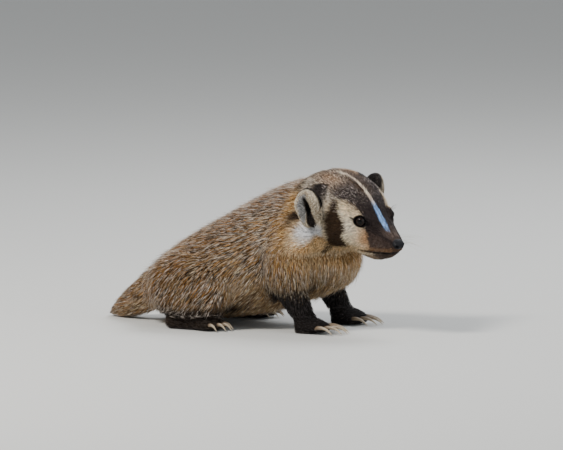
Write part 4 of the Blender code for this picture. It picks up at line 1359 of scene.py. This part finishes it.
def gather(lines, roots, stations, lock_count, pull, draw):
    """Leans each tuft towards the nearest of some leading tufts, more at its tip."""
    leaders = draw.choice(len(roots), size=lock_count, replace=False)
    tree = kdtree.KDTree(lock_count)
    for number, leader in enumerate(leaders):
        tree.insert(roots[leader], number)
    tree.balance()
    nearest = np.array([tree.find(root)[1] for root in roots.tolist()])
    chosen = leaders[nearest]
    lean = pull * np.array(stations) ** LEAN_POWER
    offset = (roots - roots[chosen])[:, None, :] * LOCK_BREADTH
    return lines + (lines[chosen] + offset - lines) * lean[None, :, None], nearest


print(len(skin_areas), "faces,", round(float(skin_areas.sum()) * 1e4), "square centimetres of skin")

# %% [markdown]
# ## Blades
# A tuft is a closed blade with three sides: two edges, and a low ridge that catches the light. All
# its corners share one small patch of the unwrap, a few thousandths across, at its root's place.

# %% Blades
FLOOR_CLEARANCE = 0.0003
RIDGE = 0.8               # height of a blade's ridge for half its width
BAKE_PATCH = 0.003
SHORT = (0.0, 0.58, 1.0)            # stations of a tuft from its root to its tip
SHORT_TAPER = (0.70, 1.0)           # its width at each station but the last
STIFF = (0.0, 0.25, 0.5, 0.75, 1.0)
STIFF_TAPER = (1.0, 0.85, 0.62, 0.36)


def blade_faces(rings):
    """Triangles of one blade, whose corners are numbered ring by ring from its root."""
    faces = [(0, 2, 1)]
    for low in range(0, (rings - 1) * 3, 3):
        for side in range(3):
            a, b = low + side, low + (side + 1) % 3
            faces += [(a, b, b + 3), (a, b + 3, a + 3)]
    last, tip = (rings - 1) * 3, rings * 3
    return np.array(faces + [(last + side, last + (side + 1) % 3, tip) for side in range(3)])


def new_mesh(name, points, triangles):
    mesh = bpy.data.meshes.new(name)
    mesh.vertices.add(len(points))
    mesh.loops.add(len(triangles) * 3)
    mesh.polygons.add(len(triangles))
    mesh.vertices.foreach_set("co", points.ravel())
    mesh.loops.foreach_set("vertex_index", triangles.ravel().astype(np.int32))
    mesh.polygons.foreach_set("loop_start", np.arange(0, len(triangles) * 3, 3, dtype=np.int32))
    mesh.update(calc_edges=True)
    return mesh


def tuft_mesh(name, lines, ups, ways, widths, taper, colours, patches, stations, band_shift):
    """One mesh of closed three-sided blades; the last station is each blade's tip."""
    count, rings = len(lines), len(stations) - 1
    each = rings * 3 + 1
    half = widths[:, None] / 2 * np.array(taper)[None, :]
    centres = lines[:, :rings]
    reach = np.cross(ups, ways)[:, :rings] * half[:, :, None]
    ridge = ups[:, :rings] * (half * RIDGE)[:, :, None]
    corners = np.stack([centres - reach, centres + reach, centres + ridge], axis=2)
    points = np.concatenate([corners.reshape(count, rings * 3, 3), lines[:, rings:]], axis=1)
    points[:, :, 2] = np.maximum(points[:, :, 2], FLOOR_CLEARANCE)
    triangles = blade_faces(rings)[None] + (np.arange(count) * each)[:, None, None]
    triangles = triangles.reshape(-1, 3)
    mesh = new_mesh(name, points.reshape(-1, 3), triangles)
    for number, part in enumerate(("root_colour", "band_colour", "tip_colour")):
        set_colour(mesh, part, np.repeat(colours[:, number], each, axis=0))
    height = np.append(np.repeat(stations[:rings], 3), 1.0)
    set_value(mesh, "along", height[None] + band_shift[:, None])
    aside = np.tile([-0.5, 0.5, 0.0], rings).tolist() + [0.0]
    ahead = np.repeat(np.array(stations[:rings]) - 0.5, 3).tolist() + [0.5]
    spots = patches[:, None, :] + np.stack([aside, ahead], axis=1)[None] * BAKE_PATCH
    layer = mesh.uv_layers.new(name=BAKE_MAP)
    layer.data.foreach_set("uv", spots.reshape(-1, 2)[triangles.ravel()].ravel())
    mesh.shade_smooth()
    piece = bpy.data.objects.new(name, mesh)
    bpy.context.scene.collection.objects.link(piece)
    return piece


print("a tuft has", len(blade_faces(len(SHORT) - 1)), "triangles, a whisker",
      len(blade_faces(len(STIFF) - 1)))


# %% [markdown]
# ## Colour from root to tip
# No two hairs match. Each lock is a little lighter or darker than the next, and within it some tufts
# show their tan underfur and some their white tips, which is what makes a coat look grizzled. Each
# tuft carries its three colours as attributes, and the material bands them along its length.

# %% Colours of single tufts
LOCK_SHARE = 0.55         # of the tufts that take their kind from their lock
TAN_KIND, DARK_KIND = 0.35, 0.70
FLECK_TIP = (0.52, 0.44, 0.40)
LOCK_CONTRAST, TUFT_CONTRAST = 0.17, 0.18
DARKEST, LIGHTEST = 0.45, 1.6
# Where along a tuft its middle and its tip colour take over
BAND_EDGES = (("band_colour", 0.16, 0.34), ("tip_colour", 0.54, 0.66))


def tuft_kinds(colours, place, kind, standing):
    """Body tufts turned tan or dark by their kind, and how grey the tips of standing ones are."""
    under, band, tip = colours[:, 0], colours[:, 1], colours[:, 2]
    body = (1 - place["head"]) * (1 - place["ear"]) * (1 - place["foreleg"] * (place["z"] < 0.05))
    body *= 1 - place["hindfoot"]
    tan = ((kind < TAN_KIND) * body)[:, None]
    band = band + (under * 0.9 - band) * tan
    tip = tip + (under * 1.05 - tip) * tan
    dark = ((kind > TAN_KIND) & (kind < DARK_KIND)) * body
    tip = tip + (band * 1.5 - tip) * dark[:, None] * 0.9
    return under, band, tip, (0.8 * standing * body)[:, None]


def tuft_colours(colours, place, lock_of, standing, draw):
    """Root, middle and tip colour of each tuft, varied by lock and by tuft."""
    count, lock_count = len(colours), int(lock_of.max()) + 1
    own, of_lock = draw.random(count), draw.random(lock_count)[lock_of]
    kind = np.where(draw.random(count) < LOCK_SHARE, of_lock, own)
    under, band, tip, grey = tuft_kinds(colours, place, kind, standing)
    above = place["head"] * (place["angle"] < 64)
    dark_crown = above * smoothly(48, 66, place["back"]) * (tip.mean(axis=1) < 0.10)
    dark_crown *= smoothly(1.28, 1.50, place["ear_reach"])
    share = np.where(place["side"] < 2, 0.40, 0.22) * smoothly(48, 75, place["back"])
    fleck = ((draw.random(count) < share) * dark_crown)[:, None]
    tip = tip + (np.array(FLECK_TIP) - tip) * fleck
    speckled = above * (place["back"] > 66) * (own < 0.34) * (under[:, 0] > 2.5 * band[:, 0])
    tip = tip + (band * 1.8 - tip) * 0.85 * speckled[:, None]
    tip = tip + (np.array(GREY_TIP) - tip) * grey
    lock_tone = draw.normal(1.0, LOCK_CONTRAST, size=lock_count)[lock_of]
    tone = lock_tone * draw.normal(1.0, TUFT_CONTRAST, size=count)
    tone = np.clip(tone, DARKEST, LIGHTEST)[:, None]
    return np.clip(np.stack([under * tone, band * tone, tip * tone], axis=1), 0, 1)


def hair_material():
    """Three colours banded from root to tip, with fine streaks of light and shade."""
    material = plain_material("badger_hair", PLAIN_BROWN, 0.55)
    dial(shader_of(material), {"Specular IOR Level": 0.16})
    along = node(material, "ShaderNodeAttribute", attribute_name="along")
    last, socket = node(material, "ShaderNodeAttribute", attribute_name="root_colour"), "Color"
    for part, start, end in BAND_EDGES:
        other = node(material, "ShaderNodeAttribute", attribute_name=part)
        share = node(material, "ShaderNodeMapRange", interpolation_type="SMOOTHSTEP")
        dial(share, {"From Min": start, "From Max": end})
        link(material, along, "Fac", share, "Value")
        mix = node(material, "ShaderNodeMix", data_type="RGBA")
        link(material, share, "Result", mix, "Factor")
        link(material, last, socket, mix, "A_Color")
        link(material, other, "Color", mix, "B_Color")
        last, socket = mix, "Result_Color"
    streak = textured(material, "ShaderNodeTexNoise", {"Scale": 380, "Detail": 2})
    link(material, last, socket, shaded(material, streak, "Fac", NOISE_RANGE, (0.78, 1.20)), 0)
    return material


HAIR = hair_material()
print("hair is banded and streaked by", len(HAIR.node_tree.nodes), "nodes")

# %% [markdown]
# ## One stretch of coat
# Each stretch is scattered, grown, gathered into locks, coloured and built in that order. One tuft in
# ten stands up over the rest, and no hair grows on the eyes, the nose pad, the mouth or the soles.

# %% Grow a stretch
BARE_LID = 0.0006                   # of the lid's edge round each eye
BARE_PAD, BARE_PAD_BACK = 0.6, 15   # round the nose pad and behind its front, in millimetres
BARE_SEAM, BARE_SEAM_BACK, BARE_SEAM_DOWN = 0.5, 42, -8
BARE_SOLE = 0.0012
STANDING_SHARE, STANDING_RISE = 0.10, 1.5
TUFT_SWAY, FIELD_SWAY, FIELD_SCALE = 0.10, 0.22, 55       # of each tuft, and of a whole field
BAND_JITTER, CROWN_BAND_SHIFT = 0.07, 0.10


def bare_places(points, place):
    """Where no hair grows: the eyes, the nose pad, the line of the mouth and the soles."""
    bare = place["z"] < BARE_SOLE
    for side in (-1, 1):
        outward, along, high = eye_frame(side, points)
        ring = lid_ring(along, high)
        bare |= (ring < LID_OPENING + BARE_LID) & (outward > -0.001) & (outward < EYE_LIMIT)
    ahead, above = place["back"] - NOSE_BACK * 1000, place["up"] - NOSE_UP * 1000
    pad = np.stack([ahead, place["side"], above], axis=1)
    pad_reach = np.linalg.norm(pad / (np.array(NOSE_SIZE) * 1000 + BARE_PAD), axis=1)
    bare |= (pad_reach < 1) & (place["back"] < BARE_PAD_BACK)
    seam = (np.abs(over_mouth(place)) < BARE_SEAM) & (place["back"] < BARE_SEAM_BACK)
    return bare | (seam & (place["up"] < BARE_SEAM_DOWN))


def varied_sizes(place, draw):
    """Length, rise and width of each tuft, and which tufts stand up."""
    count = len(place["x"])
    length, rise, width = hair_sizes(place)
    length = length * draw.uniform(0.78, 1.15, count)
    standing = (draw.random(count) < STANDING_SHARE) & (place["head"] < 0.5)
    rise = rise * draw.uniform(0.40, 1.1, count) * np.where(standing, STANDING_RISE, 1.0)
    return length, rise, width * draw.uniform(0.75, 1.2, count), standing


def grow_stretch(name, weights, count, lock_size, pull, seed):
    """One stretch of coat: scattered, grown, gathered into locks, coloured and built."""
    draw = np.random.default_rng(seed)
    roots, normals, patches = scatter(weights, count, draw)
    keep = ~bare_places(roots, regions(roots))
    roots, normals, patches = roots[keep], normals[keep], patches[keep]
    place = regions(roots)
    length, rise, width, standing = varied_sizes(place, draw)
    sway = draw.normal(0, TUFT_SWAY, len(roots)) + FIELD_SWAY * ripple(roots, FIELD_SCALE, seed)
    lines, ups, ways = grow(roots, normals, length, rise, sway, SHORT)
    locks = max(8, int(len(roots) / lock_size))
    lines, lock_of = gather(lines, roots, SHORT, locks, pull, draw)
    shown = (lines[:, -2] + lines[:, -1]) / 2
    lift = np.sum((shown - roots) * normals, axis=1) * place["head"] * smoothly(78, 55, place["angle"])
    shown = shown - normals * lift[:, None]
    colours = markings(shown, normals, regions(shown), draw)
    tones = tuft_colours(colours, place, lock_of, standing, draw)
    shift = draw.normal(0, BAND_JITTER, len(roots))
    shift = shift - CROWN_BAND_SHIFT * place["head"] * (place["back"] > 60)
    piece = tuft_mesh(name, lines, ups, ways, width, SHORT_TAPER, tones, patches, SHORT, shift)
    piece.data.materials.append(HAIR)
    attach(piece, "root")
    print(name, len(roots), "tufts,", len(piece.data.polygons), "triangles")


bare_share = bare_places(skin_points, skin_place).mean()
print("bare share of the skin's points:", round(float(bare_share), 3))


# %% [markdown]
# ## Stretches of coat
# The coat is grown stretch by stretch, so that each mesh stays small. Where hair is short its tufts
# are set closer, and each stretch has its own size and closeness of locks.

# %% Grow the coat
faces = regions(skin_faces.mean(axis=1))
right, left = faces["side"] < 0, faces["side"] >= 0
on_head = faces["head"] > 0.5
on_face = on_head & (faces["back"] < 82)
on_crown = on_head & ~on_face
on_leg = (faces["foreleg"] > 0.5) & (faces["z"] < 0.060) | (faces["hindfoot"] > 0.5)
on_body = ~on_head & ~on_leg
neck = on_body & (faces["behind"] < 0.035) & (faces["z"] > 0.075)
under = on_body & ~neck & (skin_facing[:, 2] < -0.35)
torso = on_body & ~neck & ~under & (faces["x"] > -0.085)
rear = on_body & ~neck & ~under & ~torso
haunch = rear & (faces["x"] > HIND_REAR) & (faces["z"] < 0.075) & (np.abs(faces["y"]) > 0.030)
fineness = 1 / np.maximum(column(HEAD_LENGTHS, 1, faces["back"]), 0.002)
closeness = (1 - faces["ear"]) * fineness

STRETCHES = (
    # name, where, tufts, tufts in a lock, lean of a lock, slot
    ("face_coat_right", on_face * right * closeness, 13500, 4, 0.25, "face_coat"),
    ("face_coat_left", on_face * left * closeness, 11500, 4, 0.25, "face_coat"),
    ("crown_coat", on_crown * closeness, 19500, 3, 0.35, "face_coat"),
    ("ear_coat", faces["ear"] > 0.5, 6000, 5, 0.35, "face_coat"),
    ("neck_coat", neck, 17500, 2, 0.42, "coat"),
    ("torso_coat_right", torso & (faces["y"] < 0), 19500, 2, 0.42, "coat"),
    ("torso_coat_left", torso & (faces["y"] >= 0), 17000, 2, 0.42, "coat"),
    ("rump_coat", rear & ~haunch, 13000, 2, 0.42, "coat"),
    ("haunch_coat", haunch, 13000, 2, 0.42, "coat"),
    ("under_coat", under, 8000, 4, 0.45, "coat"),
    ("leg_coat", on_leg, 10500, 5, 0.5, "leg_coat"),
)
FIRST_SEED = 21
for number, (name, where, tufts, lock_size, lean, finish) in enumerate(STRETCHES):
    grow_stretch(name, where, tufts, lock_size, lean, FIRST_SEED + number)

# %% [markdown]
# ## Whiskers
# Stiff feeling hairs stand out from the upper lip, and shorter ones from the brow. They are longer
# and far fewer than coat hairs, and each bends down under its own weight. Those on the far side
# are pale and a little thicker, so that they show beyond the muzzle.

# %% Whiskers and brow hairs
WHISKER_ROWS, WHISKERS_IN_ROW, BROW_COUNT = 3, 4, 6
WHISKER_BACK, WHISKER_OUT, WHISKER_UP = 0.0140, 0.016, -0.0070      # the first one's root
WHISKER_STEP, ROW_STEP = 0.0042, 0.0034
WHISKER_BEND, BROW_BEND = 0.22, 0.10
BROW_STEP, BROW_UP, BROW_OUT, BROW_WIDTH = 0.0018, 0.0095, 0.004, 0.00028
WHISKER_LOOKS = {-1: (0.00020, (0.20, 0.16, 0.13)), 1: (0.00040, (0.62, 0.60, 0.50))}


def stiff_hairs(name, hairs, width, colour, bend):
    """Single hairs of root, way and length, each bending down towards its tip."""
    roots, ways, lengths = (np.array(part) for part in zip(*hairs))
    surface, facing = nearest_skin(roots)
    faces_there = [READER.find_nearest(Vector(point))[2] for point in surface.tolist()]
    patches = skin_map[faces_there].mean(axis=1)
    ways = unit(ways)
    steps = []
    for t in STIFF:
        drop = np.array(UP)[None, :] * (-bend * lengths * t * t)[:, None]
        start = surface - facing * (ROOT_DEPTH * (t == 0))
        steps.append(start + ways * (lengths * t)[:, None] + drop)
    ups = unit(np.cross(ways, np.cross(facing, ways)))
    ups, ways = (np.repeat(part[:, None], len(STIFF), axis=1) for part in (ups, ways))
    tones = np.tile(np.array([colour]), (len(lengths), 3, 1))
    piece = tuft_mesh(name, np.stack(steps, axis=1), ups, ways, np.full(len(lengths), width),
                      STIFF_TAPER, tones, patches, STIFF, np.zeros(len(lengths)))
    piece.data.materials.append(HAIR)
    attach(piece, "root")
    print(name, len(lengths))


def whiskers(side, draw):
    hairs = []
    for row in range(WHISKER_ROWS):
        for number in range(WHISKERS_IN_ROW):
            back, up = WHISKER_BACK + WHISKER_STEP * number, WHISKER_UP - ROW_STEP * row
            way = LEFT * side * draw.uniform(0.75, 1.0) + FORWARD * draw.uniform(0.10, 0.65)
            way = way + UP * draw.uniform(-0.30, 0.45)
            hairs.append((head_point(back, side * WHISKER_OUT, up), way, draw.uniform(0.018, 0.032)))
    return hairs


def brow_hairs(side, draw):
    out = eye_direction(side)
    along = out.cross(UP).normalized()
    hairs = []
    for number in range(BROW_COUNT):
        aside = along * (number - (BROW_COUNT - 1) / 2) * BROW_STEP
        root = eye_centre(side) + aside + UP * BROW_UP + out * BROW_OUT
        way = out * 0.7 + UP * 0.8 + along * draw.uniform(-0.4, 0.4)
        hairs.append((root, way, draw.uniform(0.006, 0.011)))
    return hairs


draw = np.random.default_rng(5)
brows = []
for side, name in ((-1, "right"), (1, "left")):
    stiff_hairs("whiskers_" + name, whiskers(side, draw), *WHISKER_LOOKS[side], WHISKER_BEND)
    brows += brow_hairs(side, draw)
stiff_hairs("brow_hairs", brows, BROW_WIDTH, BLACK, BROW_BEND)

# %% [markdown]
# ## Eyes
# A badger's eye is small, almost black and very glossy. It is a sphere with a slight swell for the
# cornea, and the iris shows only as a dark brown ring. The clear coat gives the wet highlight.

# %% Eyes
CORNEA = 0.0003           # how far its swell stands out
# From the middle of the pupil to the back of the ball: place and colour
EYE_RINGS = ((0.0, (0.002, 0.002, 0.002)), (0.34, (0.002, 0.002, 0.002)),
             (0.42, (0.009, 0.005, 0.003)), (0.62, (0.012, 0.006, 0.004)),
             (0.72, (0.003, 0.002, 0.002)), (1.0, (0.004, 0.003, 0.003)))


def eye_material():
    material = plain_material("wet_eye", (0.01, 0.008, 0.008), 0.25)
    dial(shader_of(material), {"Specular IOR Level": 0.05, "Coat Weight": 0.38, "Coat IOR": 1.33,
                               "Coat Roughness": 0.02})
    ring = node(material, "ShaderNodeAttribute", attribute_name="from_pupil")
    ramp = node(material, "ShaderNodeValToRGB")
    stops = ramp.color_ramp.elements
    while len(stops) < len(EYE_RINGS):
        stops.new(0.5)
    for stop, (position, colour) in zip(stops, EYE_RINGS):
        stop.position = position
        stop.color = (*colour, 1)
    link(material, ring, "Fac", ramp, "Fac")
    link(material, ramp, "Color", shader_of(material), "Base Color")
    return material


WET_EYE = eye_material()
for side, name in ((-1, "right"), (1, "left")):
    out = eye_direction(side)
    along = out.cross(UP).normalized()
    ball = ellipsoid("eyeball_" + name, eye_centre(side), (along, out.cross(along), out),
                     [EYE_RADIUS] * 3, 64)
    eye_points = points_of(ball.data)
    offset = eye_points - np.array(eye_centre(side))
    ahead = offset @ np.array(out) / EYE_RADIUS
    turned = np.sqrt(np.clip(1 - ahead ** 2, 0, 1)) + (ahead < 0)
    swell = CORNEA * smoothly(0.75, 0.2, turned)
    move_points(ball.data, eye_points + unit(offset) * swell[:, None])
    set_value(ball.data, "from_pupil", np.clip(turned, 0, 1))
    ball.data.materials.append(WET_EYE)
    only(ball)
    bpy.ops.object.shade_smooth()
    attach(ball, "root")
    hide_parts("eye_" + name)
print("eyes", EYE_RADIUS * 2000, "mm across")

# %% [markdown]
# ## Nose
# The nose pad is bare leather, finely pebbled and a little moist. It starts as a stretched sphere,
# and its nostrils, their outer slits and the groove between them are pressed in by moving vertices.

# %% Nose pad
NOSTRIL = np.array([0.66, 0.72, -0.10])       # on a unit sphere: ahead, aside, up
SLIT_END = np.array([0.20, 0.98, -0.42])
NOSTRIL_DEPTH, NOSTRIL_WIDTH, NOSTRIL_RIM = 0.0026, 0.24, 0.0005
OUTER_SLIT_DEPTH, GROOVE_DEPTH, TOP_DIP = 0.0010, 0.0006, 0.0004
NOSE_COLOUR = (0.007, 0.007, 0.009)


def press_nose(units):
    """How far each point of the pad moves out, from its place on a unit sphere."""
    ahead, aside, up = units[:, 0], np.abs(units[:, 1]), units[:, 2]
    spots = np.stack([ahead, aside, up], axis=1)
    nostril = np.linalg.norm(spots - NOSTRIL / np.linalg.norm(NOSTRIL), axis=1)
    way = SLIT_END - NOSTRIL
    t = np.clip((spots - NOSTRIL) @ way / (way @ way), 0, 1)
    slit = np.linalg.norm(spots - NOSTRIL - t[:, None] * way, axis=1)
    move = -NOSTRIL_DEPTH * hill(nostril, NOSTRIL_WIDTH) - OUTER_SLIT_DEPTH * hill(slit, 0.11)
    move += NOSTRIL_RIM * hill(nostril - 0.42, 0.13) * (ahead > 0)
    move -= GROOVE_DEPTH * hill(aside, 0.07) * smoothly(0.45, 0.10, up) * (ahead > 0)
    return move - TOP_DIP * hill(up - 0.75, 0.3) * (ahead > 0.2)


def nose_material():
    material = plain_material("nose_leather", NOSE_COLOUR, 0.56)
    dial(shader_of(material), {"Specular IOR Level": 0.15, "Coat Weight": 0.03,
                               "Coat Roughness": 0.22})
    pebbles = textured(material, "ShaderNodeTexVoronoi", {"Scale": 1500})
    shade = shaded(material, pebbles, "Distance", (0, 1), (1.5, 0.6))
    shade.inputs[0].default_value = NOSE_COLOUR
    raised(material, pebbles, "Distance", 0.6, 0.00018, invert=True)
    return material


middle = head_point(NOSE_BACK, 0, NOSE_UP)
half_length, half_width, half_height = NOSE_SIZE
pad = ellipsoid("nose_pad", middle, (LEFT, UP, FORWARD), (half_width, half_height, half_length), 128)
away = points_of(pad.data) - np.array(middle)
units = unit(away @ rows_of((FORWARD, LEFT, UP)).T / np.array(NOSE_SIZE))
move_points(pad.data, points_of(pad.data) + unit(away) * press_nose(units)[:, None])
pad.data.materials.append(nose_material())
only(pad)
bpy.ops.object.shade_smooth()
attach(pad, "root")
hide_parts("nose")
print("nose pad", len(pad.data.polygons), "faces")

# %% [markdown]
# ## Claws
# Each claw is a laterally flattened, gently arched piece of horn, thick at its root and worn at its
# point. The long fore claws are for digging. A claw is rolled through rings, then joined by foot.

# %% Claws
HORN_ROOT, HORN_TIP = (0.13, 0.085, 0.05, 1), (0.52, 0.43, 0.31, 1)
POINT_LEVEL = 0.0012      # how high over the floor a claw's point is


def claw(root, along, reach, length):
    """One claw, which leaves the toe at its reach and sinks to its point."""
    drop = root.z - POINT_LEVEL
    rows = [(0.78 * reach, 0.0002, 0.0016, 0.0019), (reach, 0.0011, 0.0019, 0.0024),
            (reach + 0.25 * length, 0.0015, 0.0017, 0.0022),
            (reach + 0.55 * length, 0.0007, 0.0013, 0.0017),
            (reach + 0.80 * length, -0.35 * drop, 0.0009, 0.0012),
            (reach + length, -drop, 0.0003, 0.0004)]
    form = finger("claw", root, along, rows, 4, 0.7, 14)
    ahead = (points_of(form.data) - np.array(root)) @ np.array(along)
    set_value(form.data, "to_point", np.clip((ahead - reach) / length, 0, 1))
    return form


def horn_material():
    material = plain_material("claw_horn", (0.30, 0.24, 0.17), 0.38)
    tip = node(material, "ShaderNodeAttribute", attribute_name="to_point")
    ramp = node(material, "ShaderNodeValToRGB")
    for stop, colour in zip(ramp.color_ramp.elements, (HORN_ROOT, HORN_TIP)):
        stop.color = colour
    link(material, tip, "Fac", ramp, "Fac")
    grain = textured(material, "ShaderNodeTexNoise", {"Scale": 600, "Detail": 4})
    link(material, ramp, "Color", shaded(material, grain, "Fac", (0, 1), (0.65, 1.35)), 0)
    raised(material, grain, "Fac", 0.4, 0.0002)
    return material


HORN = horn_material()
for side, side_name in ((-1, "right"), (1, "left")):
    for foot, foot_name in ((FORE_TOES, "fore"), (HIND_TOES, "hind")):
        claws = [claw(*place, foot["claw"]) for place in toe_places(side, foot)]
        group = joined("claws_" + foot_name + "_" + side_name, claws)
        group.data.materials.append(HORN)
        only(group)
        bpy.ops.object.shade_smooth()
        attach(group, "root")
print("claws", FORE_TOES["claw"] * 1000, "mm on the forefeet")
